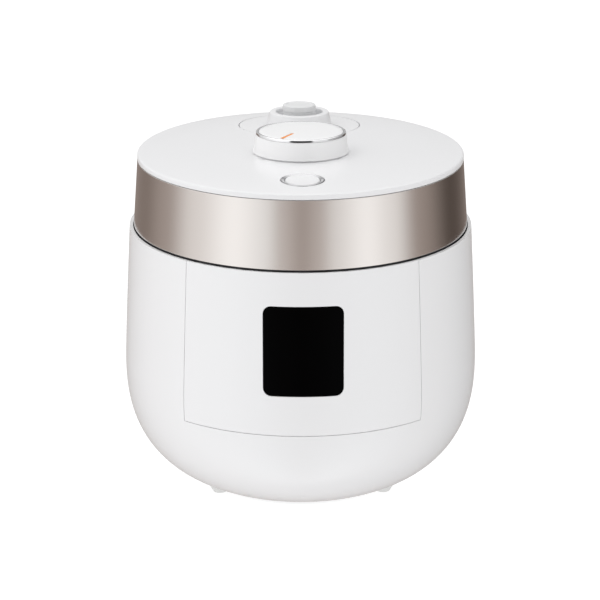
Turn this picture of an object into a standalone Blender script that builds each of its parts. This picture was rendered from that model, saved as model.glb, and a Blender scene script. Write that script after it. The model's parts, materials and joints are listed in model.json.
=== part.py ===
"""Electric pressure cooker, 6-cup size: an oval body on four feet, a hinged pressure lid with a
metal-look band, a lock knob geared to a locking ring, a sprung open button with its latch, and a
weighted steam vent.

All sizes are in metres. Heights are above the table. Everything is placed from the cooker's
upright axis, which passes through the empty named cooker_axis; the front is towards -Y.
"""

import math

import bmesh
import bpy
from mathutils import Matrix

MM = 0.001

# Fits and shared walls
GAP = 0.3 * MM                 # between pieces that seat on each other
SEAM = 0.5 * MM                # visible joint between outer pieces
RUNNING = 0.3 * MM             # radial play of a shaft in its bore
SHELL_WALL = 2.6 * MM
LID_WALL = 2.6 * MM

# Body
BODY_WIDTH = 260 * MM
PLAN_STRETCH = 1.135           # the oval plan's depth over its width
BELLY_HEIGHT = 90 * MM         # where the body is widest
BOWL_DEPTH = 95.8 * MM         # from the belly to where the bowl's curve would close
BOWL_DEPTH_POWER = 2.51
BOWL_WIDTH_POWER = 3.04
RIM_HEIGHT = 189.5 * MM
RIM_TAPER = 4.6 * MM           # how much narrower the rim is than the belly, each side
RIM_TAPER_POWER = 1.15
BASE_HEIGHT = 3 * MM           # underside of the body
BASE_MARGIN = 4.4 * MM         # from the underside's edge to the opening for the base cover
RIM_RADIUS = BODY_WIDTH / 2 - RIM_TAPER

# Front panel and display
PANEL_HALF_ANGLE = math.radians(40.2)
DISPLAY_WIDTH = 55.6 * MM
DISPLAY_HEIGHT = 63.4 * MM
DISPLAY_DROP = 55.4 * MM       # from the rim to the display's centre
DISPLAY_CORNER = 5.5 * MM
DISPLAY_BOARD_SETBACK = 13 * MM  # behind the panel's middle
DISPLAY_BOARD_MARGIN = 5 * MM
PANEL_MARGIN = 29.4 * MM       # from the display down to the panel's lower edge
DISPLAY_CENTRE = RIM_HEIGHT - DISPLAY_DROP
PANEL_BOTTOM = DISPLAY_CENTRE - DISPLAY_HEIGHT / 2 - PANEL_MARGIN

# Lid: the band round it, the domed cover above, the frame inside
BAND_STEP = 3.1 * MM           # from the body's rim in to the band
BAND_TAPER = 3.36 * MM
BAND_LIFT = 1 * MM             # from the body's rim up to the band
BAND_HEIGHT = 48.3 * MM
BAND_THICKNESS = 1.2 * MM
LID_EDGE = 2.76 * MM           # upright edge of the cover above the band
LID_FILLET = 1.6 * MM
DOME_RISE = 3 * MM
DOME_EDGE_RISE = 1.6 * MM
FRAME_DROP = 1.7 * MM          # how far the frame's skirt sinks below the body's rim
FRAME_WALL = 2 * MM
FRAME_FLOOR_RISE = 12.5 * MM   # from the band's lower edge to the frame's floor
FRAME_FLOOR_THICKNESS = 2.5 * MM
FRAME_TOP_DROP = 2.8 * MM
BAND_BOTTOM_RADIUS = RIM_RADIUS - BAND_STEP
BAND_TOP_RADIUS = BAND_BOTTOM_RADIUS - BAND_TAPER
BAND_BOTTOM = RIM_HEIGHT + BAND_LIFT
BAND_TOP = BAND_BOTTOM + BAND_HEIGHT
DOME_TOP = BAND_TOP + LID_EDGE + LID_FILLET + DOME_RISE + DOME_EDGE_RISE
FRAME_BOTTOM = RIM_HEIGHT - FRAME_DROP
FRAME_FLOOR = BAND_BOTTOM + FRAME_FLOOR_RISE
FRAME_TOP = BAND_TOP - FRAME_TOP_DROP

# Locking ring, which turns in the lid under the pot's lugs
RING_MARGIN = 9.4 * MM         # from the body's rim in to the ring
RING_WALL = 2 * MM
RING_HEIGHT = 27.5 * MM
RING_HEADROOM = 2.5 * MM       # below the frame's floor
RING_FLANGE = 3 * MM
RING_LUG_THICKNESS = 3.5 * MM
RING_LUG_CLEARANCE = 2.5 * MM  # between the ring's lug tips and the pot's flange
RING_PLAY = 1.5 * MM           # round the ring in the body's recess
SPOKE_WIDTH = 10 * MM
SPOKE_ANGLES = (math.radians(35), math.radians(145))
RING_OUTER = RIM_RADIUS - RING_MARGIN
RING_TOP = FRAME_FLOOR - RING_HEADROOM
RING_BOTTOM = RING_TOP - RING_HEIGHT
RECESS_FLOOR = RING_BOTTOM - 2 * RING_PLAY
UPPER_PLATE_THICKNESS = 3 * MM
UPPER_PLATE_TOP = FRAME_BOTTOM - 0.8 * MM
UPPER_PLATE_BOTTOM = UPPER_PLATE_TOP - UPPER_PLATE_THICKNESS

# Plate, inner lid and gasket that close the pot
PLATE_DROP = 7.5 * MM          # from the frame's floor to the plate
PLATE_THICKNESS = 7 * MM
GASKET_HEIGHT = 7.5 * MM       # from the pot's flange to the plate
GASKET_WIDTH = 6.6 * MM
PLATE_TOP = FRAME_FLOOR - PLATE_DROP
PLATE_BOTTOM = PLATE_TOP - PLATE_THICKNESS

# Inner pot and its well
FLANGE_MARGIN = 12 * MM        # from the ring's outside in to the pot's flange
FLANGE_WIDTH = 8 * MM
FLANGE_THICKNESS = 3 * MM
FLANGE_RADIUS = RING_OUTER - FLANGE_MARGIN
POT_RADIUS = FLANGE_RADIUS - FLANGE_WIDTH
POT_WALL = 2.2 * MM
POT_BOTTOM = 60 * MM
POT_TOP = PLATE_BOTTOM - GASKET_HEIGHT
POT_CORNER = 22 * MM
INNER_LID_RADIUS = POT_RADIUS + 1 * MM
LUG_COUNT = 8
LUG_REACH = 6.5 * MM
LUG_HALF_ANGLE = math.radians(8)
WELL_PLAY = 3.5 * MM           # between the pot and the well liner
WELL_WALL = 2 * MM
SENSOR_RADIUS = 16 * MM

# Gears between the knob and the ring
GEAR_MODULE = 1 * MM
PINION_TEETH = 12
RING_TEETH = 38
SECTOR_TEETH = 9
BACKLASH = 0.25 * MM
PIVOT_RADIUS = 7.2 * MM

# Lock knob
KNOB_BASE_RADIUS = 34.8 * MM
KNOB_TOP_RADIUS = 32.6 * MM
KNOB_LIFT = 0.44 * MM          # above the top of the dome
KNOB_WALL_HEIGHT = 12.9 * MM
KNOB_CROWN_HEIGHT = 2.5 * MM
KNOB_RING_WIDTH = 1.9 * MM
KNOB_RING_HEIGHT = 1.8 * MM
KNOB_BOTTOM = DOME_TOP + KNOB_LIFT
KNOB_SHOULDER = KNOB_BOTTOM + KNOB_WALL_HEIGHT
KNOB_CROWN = KNOB_SHOULDER + KNOB_CROWN_HEIGHT
SHAFT_RADIUS = 3.7 * MM
MARKER_LENGTH = 17 * MM
MARKER_WIDTH = 2.4 * MM
MARKER_ANGLE = math.radians(-119)

# Steam vent
VENT_Y = 70.45 * MM
DISH_RADIUS = 45.3 * MM
SHROUD_BASE_RADIUS = 24.1 * MM
SHROUD_TOP_RADIUS = 22.3 * MM
SHROUD_RISE = 9.24 * MM        # above the top of the dome
SHROUD_MOUTH = 17.6 * MM
WEIGHT_RADIUS = 12.5 * MM
WEIGHT_RISE = 1.44 * MM
WEIGHT_HEIGHT = 13.2 * MM
SHROUD_TOP = DOME_TOP + SHROUD_RISE
WEIGHT_BOTTOM = DOME_TOP + WEIGHT_RISE
WEIGHT_TOP = WEIGHT_BOTTOM + WEIGHT_HEIGHT
NOZZLE_RADIUS = 6 * MM
NOZZLE_BORE = 1.5 * MM
PLUNGER_RADIUS = 4 * MM
PLUNGER_PLACE = (-45 * MM, 62 * MM)
VALVE_PLACE = (-58 * MM, 15.5 * MM)
VALVE_STEM = 3 * MM

# Open button and latch
BUTTON_RADIUS = 12.1 * MM
BUTTON_PLAY = 0.4 * MM
BUTTON_RING_WALL = 2.55 * MM
BUTTON_STEM = 3 * MM
BUTTON_SPRING_HEIGHT = 9 * MM
LEVER_REACH = 23.2 * MM        # from the latch pivot to the button's middle
LEVER_RISE = 7 * MM            # of the lever's top above the pivot
LATCH_MARGIN = 10 * MM         # from the locking ring forward to the pivot
LATCH_PIVOT_RISE = 7 * MM      # above the frame's floor
LATCH_NOSE_HEIGHT = 3.6 * MM
LATCH_WIDTH = 8 * MM
LATCH_ARM = 3 * MM
LATCH_EYE = 4 * MM
LATCH_PIN_RADIUS = 2 * MM
BUTTON_RING_RADIUS = BUTTON_RADIUS + BUTTON_PLAY + BUTTON_RING_WALL
LATCH_PIVOT_Y = -(RING_OUTER + LATCH_MARGIN)
BUTTON_Y = LATCH_PIVOT_Y + LEVER_REACH
LATCH_PIVOT_Z = FRAME_FLOOR + LATCH_PIVOT_RISE
LATCH_LEVER_TOP = LATCH_PIVOT_Z + LEVER_RISE
LATCH_NOSE_BOTTOM = RING_BOTTOM + 0.8 * MM
LATCH_NOSE_TOP = LATCH_NOSE_BOTTOM + LATCH_NOSE_HEIGHT

# Rear housing and hinge
HOUSING_WIDTH = 124 * MM
HOUSING_BOTTOM = 58 * MM
HOUSING_RISE = 3.5 * MM        # of its top above the body's rim
HOUSING_BEHIND = 30 * MM       # from the hinge pin back to its rear face
HOUSING_WALL = 2.6 * MM
HINGE_DROP = 3.5 * MM          # of the pin below the body's rim
HINGE_SPACE = 3.2 * MM         # between the band and the knuckles
HINGE_PIN_RADIUS = 3 * MM
KNUCKLE_RADIUS = 8 * MM
KNUCKLE_INNER = 24 * MM        # where each knuckle starts, from the middle
KNUCKLE_OUTER = 42 * MM
HINGE_CLEARANCE = 2 * MM
HINGE_COVER_WALL = 2 * MM
HINGE_COVER_CHEEK = 1.1 * MM
HOUSING_TOP = RIM_HEIGHT + HOUSING_RISE
HINGE_Y = BAND_BOTTOM_RADIUS * PLAN_STRETCH + HINGE_SPACE + KNUCKLE_RADIUS
HINGE_Z = RIM_HEIGHT - HINGE_DROP
REAR_REACH = HINGE_Y + HOUSING_BEHIND  # from the cooker's axis to its back
HINGE_COVER_INNER = KNUCKLE_RADIUS + HINGE_SPACE
HINGE_COVER_OUTER = HINGE_COVER_INNER + HINGE_COVER_WALL
HINGE_SLOT_RADIUS = HINGE_COVER_OUTER + 0.8 * MM

# Power inlet, and the condensate cup above it
INLET_WIDTH = 30 * MM
INLET_HEIGHT = 24 * MM
INLET_RISE = 20 * MM           # of its middle above the housing's bottom
INLET_DEPTH = 24 * MM
INLET_WALL = 3.5 * MM
INLET_PIN_RADIUS = 2 * MM
INLET_PIN_SPACING = 10 * MM
CUP_WIDTH = 56 * MM
CUP_SPACE = 2.4 * MM           # between the body and the cup
CUP_MARGIN = 10 * MM           # between the inlet and the cup
CUP_DROP = 36 * MM             # of the cup's top below the hinge pin
CUP_WALL = 1.8 * MM
INLET_CENTRE = HOUSING_BOTTOM + INLET_RISE
CUP_FRONT = BODY_WIDTH / 2 * PLAN_STRETCH + CUP_SPACE
CUP_BOTTOM = INLET_CENTRE + INLET_HEIGHT / 2 + CUP_MARGIN
CUP_TOP = HINGE_Z - CUP_DROP

# Heating, power and cooling parts
COIL_OUTER = 78 * MM
COIL_INNER = 26 * MM
COIL_THICKNESS = 5.2 * MM
CARRIER_THICKNESS = 3.2 * MM
FERRITE_SIZE = (52 * MM, 11 * MM, 5 * MM)
FERRITE_COUNT = 3
FAN_SIZE = 76 * MM
FAN_HEIGHT = 18 * MM
FAN_Y = 36 * MM
FAN_BLADES = 7
FAN_HUB = 13 * MM
BOARD_SIZE = (90 * MM, 60 * MM, 1.6 * MM)
BOARD_Y = -42 * MM
SINK_SIZE = (60 * MM, 40 * MM, 22 * MM)
SINK_BASE = 4 * MM
SINK_FINS = 8

# Feet and fasteners
FOOT_RADIUS = 8 * MM
FOOT_ANGLE = math.radians(40.4)  # of each foot round the underside's edge, from X
SCREW_X = 52 * MM
SCREW_Y = 30 * MM

STEPS = 32                     # facets round the large turned pieces
SMALL_STEPS = 16
SHARP_ANGLE = math.radians(35)

AXIS_Y = (BODY_WIDTH * PLAN_STRETCH / 2 - REAR_REACH) / 2
KNOB_Y = -GEAR_MODULE * (PINION_TEETH + RING_TEETH) / 2
SHELL_INSIDE = SHELL_WALL + 0.4 * MM

for old in list(bpy.data.objects):
    bpy.data.objects.remove(old)
PARTS = bpy.data.collections.new("electric_pressure_cooker")
CUTTERS = bpy.data.collections.new("cutters")
bpy.context.scene.collection.children.link(PARTS)
bpy.context.scene.collection.children.link(CUTTERS)
CUTTERS.hide_render = True


# ---------------------------------------------------------------- materials

def material(name, colour, roughness, metallic=0.0):
    paint = bpy.data.materials.new(name)
    paint.use_nodes = True
    shader = paint.node_tree.nodes["Principled BSDF"]
    shader.inputs["Base Color"].default_value = (*colour, 1)
    shader.inputs["Roughness"].default_value = roughness
    shader.inputs["Metallic"].default_value = metallic
    paint.diffuse_color = (*colour, 1)
    return paint


WHITE = material("white_gloss_plastic", (0.86, 0.86, 0.85), 0.22)
BAND = material("champagne_metal_finish", (0.55, 0.48, 0.44), 0.3, 1.0)
CHROME = material("chrome", (0.8, 0.8, 0.8), 0.08, 1.0)
BLACK_GLASS = material("black_display_window", (0.01, 0.01, 0.01), 0.06)
DARK = material("dark_grey_plastic", (0.08, 0.08, 0.085), 0.5)
ORANGE = material("orange_marker", (0.9, 0.38, 0.16), 0.4)
POT_COAT = material("non_stick_coating", (0.06, 0.055, 0.05), 0.35, 0.4)
ALUMINIUM = material("cast_aluminium", (0.62, 0.62, 0.63), 0.4, 1.0)
STEEL = material("stainless_steel", (0.6, 0.6, 0.6), 0.25, 1.0)
RUBBER = material("silicone_rubber", (0.42, 0.42, 0.42), 0.7)
FOOT_RUBBER = material("pale_rubber", (0.72, 0.72, 0.71), 0.75)
COPPER = material("copper_winding", (0.6, 0.28, 0.15), 0.4, 0.9)
FERRITE = material("ferrite", (0.05, 0.05, 0.05), 0.7)
BOARD = material("circuit_board", (0.05, 0.22, 0.1), 0.5)
HEAT_RESISTANT = material("heat_resistant_plastic", (0.22, 0.2, 0.19), 0.6)
CLEAR = material("translucent_plastic", (0.72, 0.74, 0.75), 0.25)
BRASS = material("brass", (0.72, 0.55, 0.25), 0.3, 1.0)


# ---------------------------------------------------------------- shape helpers

def add(name, mesh, paint, at=(0, 0, 0)):
    """A named part that holds the mesh, standing at a place in the cooker's frame."""
    mesh.materials.append(paint)
    mesh.shade_smooth()
    mesh.set_sharp_from_angle(angle=SHARP_ANGLE)
    part = bpy.data.objects.new(name, mesh)
    part.location = at
    PARTS.objects.link(part)
    return part


def evaluated_mesh(source):
    """The source's mesh with its modifiers or bevel worked out; the source is removed."""
    bpy.context.view_layer.update()
    graph = bpy.context.evaluated_depsgraph_get()
    mesh = bpy.data.meshes.new_from_object(source.evaluated_get(graph))
    bpy.data.objects.remove(source)
    return mesh


def turned(name, profile, paint, at=(0, 0, 0), stretch=1.0, steps=STEPS):
    """Turns a profile of (radius, height) points, which runs down its outer side. A profile that
    begins on the axis ends there too; any other is a closed loop. A stretch makes it oval."""
    wire = bpy.data.meshes.new(name + "_profile")
    count = len(profile)
    edges = [(i, i + 1) for i in range(count - 1)]
    if profile[0][0] > 0:
        edges.append((count - 1, 0))
    wire.from_pydata([(radius, 0, height) for radius, height in profile], edges, [])
    guide = bpy.data.objects.new(name + "_profile", wire)
    PARTS.objects.link(guide)
    screw = guide.modifiers.new("Turn", "SCREW")
    screw.steps = screw.render_steps = steps
    screw.use_merge_vertices = True
    screw.merge_threshold = 0.00001
    mesh = evaluated_mesh(guide)
    mesh.transform(Matrix.Diagonal((1, stretch, 1, 1)))
    return add(name, mesh, paint, at)


def ring(name, inner, outer, low, high, paint, at=(0, 0, 0), stretch=1.0, steps=STEPS):
    profile = [(outer, high), (outer, low), (inner, low), (inner, high)]
    return turned(name, profile, paint, at, stretch, steps)


def axis_turn(axis):
    """The rotation that lays something upright along X or Y."""
    turns = {"X": Matrix.Rotation(math.pi / 2, 4, "Y"), "Y": Matrix.Rotation(-math.pi / 2, 4, "X")}
    return turns.get(axis, Matrix.Identity(4))


def rod(name, radius, low, high, paint, at=(0, 0), axis="Z", steps=SMALL_STEPS, top_radius=None):
    """A round bar from low to high along an axis; at gives its other two coordinates. A facet,
    not an edge, faces each axis, so that a bore on a disc's middle line meets no disc edge."""
    shape = bmesh.new()
    end = radius if top_radius is None else top_radius
    bmesh.ops.create_cone(
        shape, cap_ends=True, segments=steps, radius1=radius, radius2=end, depth=high - low
    )
    mesh = bpy.data.meshes.new(name)
    shape.to_mesh(mesh)
    shape.free()
    mesh.transform(axis_turn(axis) @ Matrix.Rotation(math.pi / steps, 4, "Z"))
    middle = (low + high) / 2
    place = {"X": (middle, *at), "Y": (at[0], middle, at[-1]), "Z": (*at, middle)}[axis]
    return add(name, mesh, paint, place)


def block(name, low, high, paint, rounding=0.0, segments=2, upright_only=False):
    """A box between two corners, with its edges rounded."""
    size = [b - a for a, b in zip(low, high)]
    centre = [(a + b) / 2 for a, b in zip(low, high)]
    shape = bmesh.new()
    bmesh.ops.create_cube(shape, size=1, matrix=Matrix.Diagonal((*size, 1)))
    if rounding and upright_only:
        upright = [e for e in shape.edges if abs(e.verts[0].co.z - e.verts[1].co.z) > size[2] / 2]
        bmesh.ops.bevel(
            shape, geom=upright, offset=rounding, segments=segments, profile=0.5, affect="EDGES"
        )
    mesh = bpy.data.meshes.new(name)
    shape.to_mesh(mesh)
    shape.free()
    part = add(name, mesh, paint, centre)
    if rounding and not upright_only:
        bevel = part.modifiers.new("Rounding", "BEVEL")
        bevel.width = rounding
        bevel.segments = segments
    return part


def plate(name, outlines, low, high, paint, facing="Z", at=(0, 0, 0)):
    """A flat piece between two heights. The first outline is its edge and any other is a hole.
    Facing X, an outline's points are (y, z); facing Y, they are (x, z) and heights run to -Y."""
    curve = bpy.data.curves.new(name + "_outline", "CURVE")
    curve.dimensions = "2D"
    curve.fill_mode = "BOTH"
    curve.extrude = (high - low) / 2
    for outline in outlines:
        spline = curve.splines.new("POLY")
        spline.points.add(len(outline) - 1)
        for point, (x, y) in zip(spline.points, outline):
            point.co = (x, y, 0, 1)
        spline.use_cyclic_u = True
    guide = bpy.data.objects.new(name + "_outline", curve)
    PARTS.objects.link(guide)
    mesh = evaluated_mesh(guide)
    bpy.data.curves.remove(curve)
    shape = bmesh.new()
    shape.from_mesh(mesh)
    bmesh.ops.remove_doubles(shape, verts=shape.verts, dist=0.000001)
    shape.to_mesh(mesh)
    shape.free()
    mesh.transform(Matrix.Translation((0, 0, (low + high) / 2)))
    turns = {
        "X": Matrix(((0, 0, 1, 0), (1, 0, 0, 0), (0, 1, 0, 0), (0, 0, 0, 1))),
        "Y": Matrix(((1, 0, 0, 0), (0, 0, -1, 0), (0, 1, 0, 0), (0, 0, 0, 1))),
    }
    mesh.transform(turns.get(facing, Matrix.Identity(4)))
    return add(name, mesh, paint, at)


def coil(name, radius, wire, start, end, turns, paint, at, axis="Z"):
    """A helical spring along an axis, between two places on it."""
    points_per_turn = 8
    curve = bpy.data.curves.new(name + "_path", "CURVE")
    curve.dimensions = "3D"
    curve.bevel_depth = wire
    curve.bevel_resolution = 2
    curve.use_fill_caps = True
    spline = curve.splines.new("POLY")
    count = points_per_turn * turns + 1
    spline.points.add(count - 1)
    for index, point in enumerate(spline.points):
        angle = math.tau * index / points_per_turn
        along = start + wire + (end - start - 2 * wire) * index / (count - 1)
        point.co = (radius * math.cos(angle), radius * math.sin(angle), along, 1)
    guide = bpy.data.objects.new(name + "_path", curve)
    PARTS.objects.link(guide)
    mesh = evaluated_mesh(guide)
    bpy.data.curves.remove(curve)
    shape = bmesh.new()
    shape.from_mesh(mesh)
    bmesh.ops.remove_doubles(shape, verts=shape.verts, dist=0.000001)
    shape.to_mesh(mesh)
    shape.free()
    mesh.transform(axis_turn(axis))
    return add(name, mesh, paint, at)


def combine(target, operation, *tools):
    """Cuts, joins or keeps what is common with each tool, and files the tools as cutters."""
    for tool in tools:
        boolean = target.modifiers.new(tool.name, "BOOLEAN")
        boolean.operation = operation
        boolean.solver = "EXACT"
        boolean.object = tool
        if tool.name not in CUTTERS.objects:
            CUTTERS.objects.link(tool)
            PARTS.objects.unlink(tool)
            tool.hide_render = True
            tool.display_type = "WIRE"
    return target


def cut(target, *tools):
    return combine(target, "DIFFERENCE", *tools)


def join(target, *tools):
    return combine(target, "UNION", *tools)


def common(target, *tools):
    return combine(target, "INTERSECT", *tools)


def arc(centre, radius, start, end, count):
    """Points along an arc, its angles in degrees."""
    angles = [math.radians(start + (end - start) * i / (count - 1)) for i in range(count)]
    return [(centre[0] + radius * math.cos(a), centre[1] + radius * math.sin(a)) for a in angles]


def rounded_rectangle(width, height, corner, centre=(0, 0), count=5):
    """An outline with round corners, anticlockwise."""
    points = []
    for quarter, (side, end) in enumerate(((1, 1), (-1, 1), (-1, -1), (1, -1))):
        middle = (
            centre[0] + side * (width / 2 - corner),
            centre[1] + end * (height / 2 - corner),
        )
        points += arc(middle, corner, 90 * quarter, 90 * quarter + 90, count)
    return points


def circle(radius, count=STEPS):
    return arc((0, 0), radius, 0, 360 - 360 / count, count)


def lugged_circle(root, tip, offset=0.0, steps_each=2):
    """A circle with evenly spaced lugs that reach from the root radius to the tip radius."""
    points = []
    pitch = math.tau / LUG_COUNT
    for lug in range(LUG_COUNT):
        middle = offset + lug * pitch
        stretches = (
            (tip, middle - LUG_HALF_ANGLE, middle + LUG_HALF_ANGLE),
            (root, middle + LUG_HALF_ANGLE, middle + pitch - LUG_HALF_ANGLE),
        )
        for radius, start, end in stretches:
            points += arc((0, 0), radius, math.degrees(start), math.degrees(end), steps_each + 1)
    return points


def involute(angle):
    return math.tan(angle) - angle


def gear_outline(teeth, first=0, last=None, turn=0.0):
    """An outline with involute teeth from the first to the last, round elsewhere."""
    pressure = math.radians(20)
    pitch_radius = GEAR_MODULE * teeth / 2
    base = pitch_radius * math.cos(pressure)
    tip = pitch_radius + 0.75 * GEAR_MODULE
    root = pitch_radius - 1.15 * GEAR_MODULE
    half = math.pi / (2 * teeth) - BACKLASH / (2 * pitch_radius) + involute(pressure)
    flank = []
    for share in (0, 0.5, 1):
        radius = max(root, base) + share * (tip - max(root, base))
        flank.append((radius, half - involute(math.acos(min(1, base / radius)))))
    toothed = range(first, teeth if last is None else last)
    points = []
    for tooth in range(teeth):
        middle = turn + math.tau * tooth / teeth
        if tooth not in toothed:
            points.append((root, middle))
            continue
        points.append((root, middle - flank[0][1]))
        points += [(radius, middle - spread) for radius, spread in flank]
        points += [(radius, middle + spread) for radius, spread in reversed(flank)]
        points.append((root, middle + flank[0][1]))
    unique = [p for i, p in enumerate(points) if p != points[i - 1]]
    return [(radius * math.cos(angle), radius * math.sin(angle)) for radius, angle in unique]


# ---------------------------------------------------------------- shared surfaces

def body_radius(height):
    """Half-width of the body's outside: a bowl up to the belly, then a slow taper to the rim."""
    belly = BODY_WIDTH / 2
    if height < BELLY_HEIGHT:
        depth = (BELLY_HEIGHT - height) / BOWL_DEPTH
        return belly * (1 - depth**BOWL_DEPTH_POWER) ** (1 / BOWL_WIDTH_POWER)
    rise = (height - BELLY_HEIGHT) / (RIM_HEIGHT - BELLY_HEIGHT)
    return belly - RIM_TAPER * rise**RIM_TAPER_POWER


def body_profile(offset, low, high):
    """The body's outside between two heights, moved outwards by an offset along its normal."""
    spread = (1, 0.74, 0.47, 0.34, 0.23, 0.14, 0.07, 0.03, 0)
    step = 0.1 * MM
    points = []
    for share in spread:
        height = BASE_HEIGHT + share * (RIM_HEIGHT - BASE_HEIGHT)
        slope = (body_radius(height + step / 2) - body_radius(height - step / 2)) / step
        length = math.hypot(1, slope)
        point = (body_radius(height) + offset / length, height - offset * slope / length)
        if low < point[1] < high:
            points.append(point)
    return points


def body_shell(name, paint):
    outside = body_profile(0, 0, 2 * RIM_HEIGHT)
    inside = body_profile(-SHELL_WALL, BASE_HEIGHT + 2 * SHELL_WALL, RIM_HEIGHT - SHELL_WALL)
    rim = [(body_radius(RIM_HEIGHT) - SHELL_WALL, RIM_HEIGHT)]
    opening = body_radius(BASE_HEIGHT) - BASE_MARGIN
    base = [(opening, BASE_HEIGHT), (opening, BASE_HEIGHT + SHELL_WALL)]
    return turned(name, outside + base + inside[::-1] + rim, paint, stretch=PLAN_STRETCH)


def body_solid(name, grow):
    """The body's outer form as one solid, grown by a clearance, for fitting pieces round it."""
    outside = body_profile(grow, 0, 2 * RIM_HEIGHT)
    top = RIM_HEIGHT + HOUSING_WALL + KNUCKLE_RADIUS
    bottom = BASE_HEIGHT - grow
    profile = [(0, top), (outside[0][0], top), *outside]
    profile += [(outside[-1][0], bottom), (0, bottom)]
    return turned(name, profile, WHITE, stretch=PLAN_STRETCH)


def dome_height(radius):
    """Height of the lid's top at a distance from the axis, measured across the width."""
    share = radius / (BAND_TOP_RADIUS - LID_FILLET)
    edge = BAND_TOP + LID_EDGE + LID_FILLET
    return edge + DOME_RISE * (1 - share**2) + DOME_EDGE_RISE * (1 - share**6)


def dome_profile(offset, count=5):
    """The lid's top from the axis to its fillet."""
    reach = BAND_TOP_RADIUS - LID_FILLET
    return [(reach * i / count, dome_height(reach * i / count) + offset) for i in range(count + 1)]


def lid_top_solid(name, offset):
    """Everything below the lid's top, raised by an offset, down to below the latch lever."""
    profile = dome_profile(offset) + [(BAND_TOP_RADIUS - LID_FILLET, FRAME_FLOOR), (0, FRAME_FLOOR)]
    return turned(name, profile, WHITE, stretch=PLAN_STRETCH)


def lid_side_solid(name, grow):
    """Everything inside the band's outer surface and the frame's skirt, grown by a clearance."""
    profile = [
        (0, BAND_TOP),
        (BAND_TOP_RADIUS + grow, BAND_TOP),
        (BAND_BOTTOM_RADIUS + grow, BAND_BOTTOM),
        (BAND_BOTTOM_RADIUS + grow, FRAME_BOTTOM - grow),
        (0, FRAME_BOTTOM - grow),
    ]
    return turned(name, profile, WHITE, stretch=PLAN_STRETCH)


def lid_cover_blank(name):
    """The cover before its openings: a shallow dome with a filleted, upright edge."""
    corner = (BAND_TOP_RADIUS - LID_FILLET, BAND_TOP + LID_EDGE)
    fillet = arc(corner, LID_FILLET, 90, 0, 3)
    low = BAND_TOP + GAP
    inner = BAND_TOP_RADIUS - LID_WALL
    underside = [(r, z) for r, z in dome_profile(-LID_WALL, 3) if r < inner - LID_WALL]
    edge = [(BAND_TOP_RADIUS, low), (inner, low), (inner, low + LID_FILLET)]
    profile = dome_profile(0)[:-1] + fillet + edge + underside[::-1]
    return turned(name, profile, WHITE, stretch=PLAN_STRETCH)


def panel_wedge(name, inset):
    """The sector of the body that the front panel fills, its sides drawn in by an inset."""
    reach = BODY_WIDTH
    apex = -inset / math.sin(PANEL_HALF_ANGLE)
    side = reach * math.sin(PANEL_HALF_ANGLE)
    front = apex - reach * math.cos(PANEL_HALF_ANGLE)
    outline = [(0, apex), (-side, front), (side, front)]
    wedge = plate(name, [outline], PANEL_BOTTOM + inset, RIM_HEIGHT * 1.1, WHITE)
    wedge.data.transform(Matrix.Diagonal((1, PLAN_STRETCH, 1, 1)))
    return wedge


def display_prism(name, grow):
    outline = rounded_rectangle(
        DISPLAY_WIDTH + 2 * grow,
        DISPLAY_HEIGHT + 2 * grow,
        DISPLAY_CORNER + grow,
        (0, DISPLAY_CENTRE),
    )
    return plate(name, [outline], BODY_WIDTH / 4, BODY_WIDTH, WHITE, facing="Y")


# ---------------------------------------------------------------- body pieces

def make_body():
    slot_half = KNUCKLE_OUTER + HINGE_CLEARANCE
    hinge_notch = block(
        "hinge_notch",
        (-slot_half, RING_OUTER + 2 * WELL_WALL, HINGE_Z - KNUCKLE_RADIUS - HINGE_CLEARANCE),
        (slot_half, REAR_REACH, BAND_TOP),
        WHITE,
    )
    wire_hole = rod(
        "wire_hole", 8 * MM, CUP_FRONT - 30 * MM, CUP_FRONT, WHITE, (0, INLET_CENTRE), "Y"
    )
    outer_body = body_shell("outer_body", WHITE)
    cut(outer_body, panel_wedge("panel_opening", 0), hinge_notch, wire_hole)
    front_panel = body_shell("front_panel", WHITE)
    common(front_panel, panel_wedge("panel_limit", SEAM))
    cut(front_panel, display_prism("display_opening", 0.2 * MM))
    display_window = body_shell("display_window", BLACK_GLASS)
    common(display_window, display_prism("display_limit", 0))
    board_y = -(BODY_WIDTH / 2 - SHELL_WALL) * PLAN_STRETCH + DISPLAY_BOARD_SETBACK
    half_width = DISPLAY_WIDTH / 2 + DISPLAY_BOARD_MARGIN
    half_height = DISPLAY_HEIGHT / 2 + DISPLAY_BOARD_MARGIN
    display_board = block(
        "display_board",
        (-half_width, board_y - BOARD_SIZE[2], DISPLAY_CENTRE - half_height),
        (half_width, board_y, DISPLAY_CENTRE + half_height),
        BOARD,
    )
    upper_frame = make_upper_frame(hinge_notch)
    strike_low = LATCH_NOSE_TOP + 0.9 * MM
    latch_strike = block(
        "latch_strike",
        (-14 * MM, -(RING_OUTER + 7.2 * MM), strike_low),
        (14 * MM, -(RING_OUTER + 4 * MM), UPPER_PLATE_BOTTOM - GAP),
        STEEL,
    )
    return [outer_body, front_panel, display_window, display_board, upper_frame, latch_strike]


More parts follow.
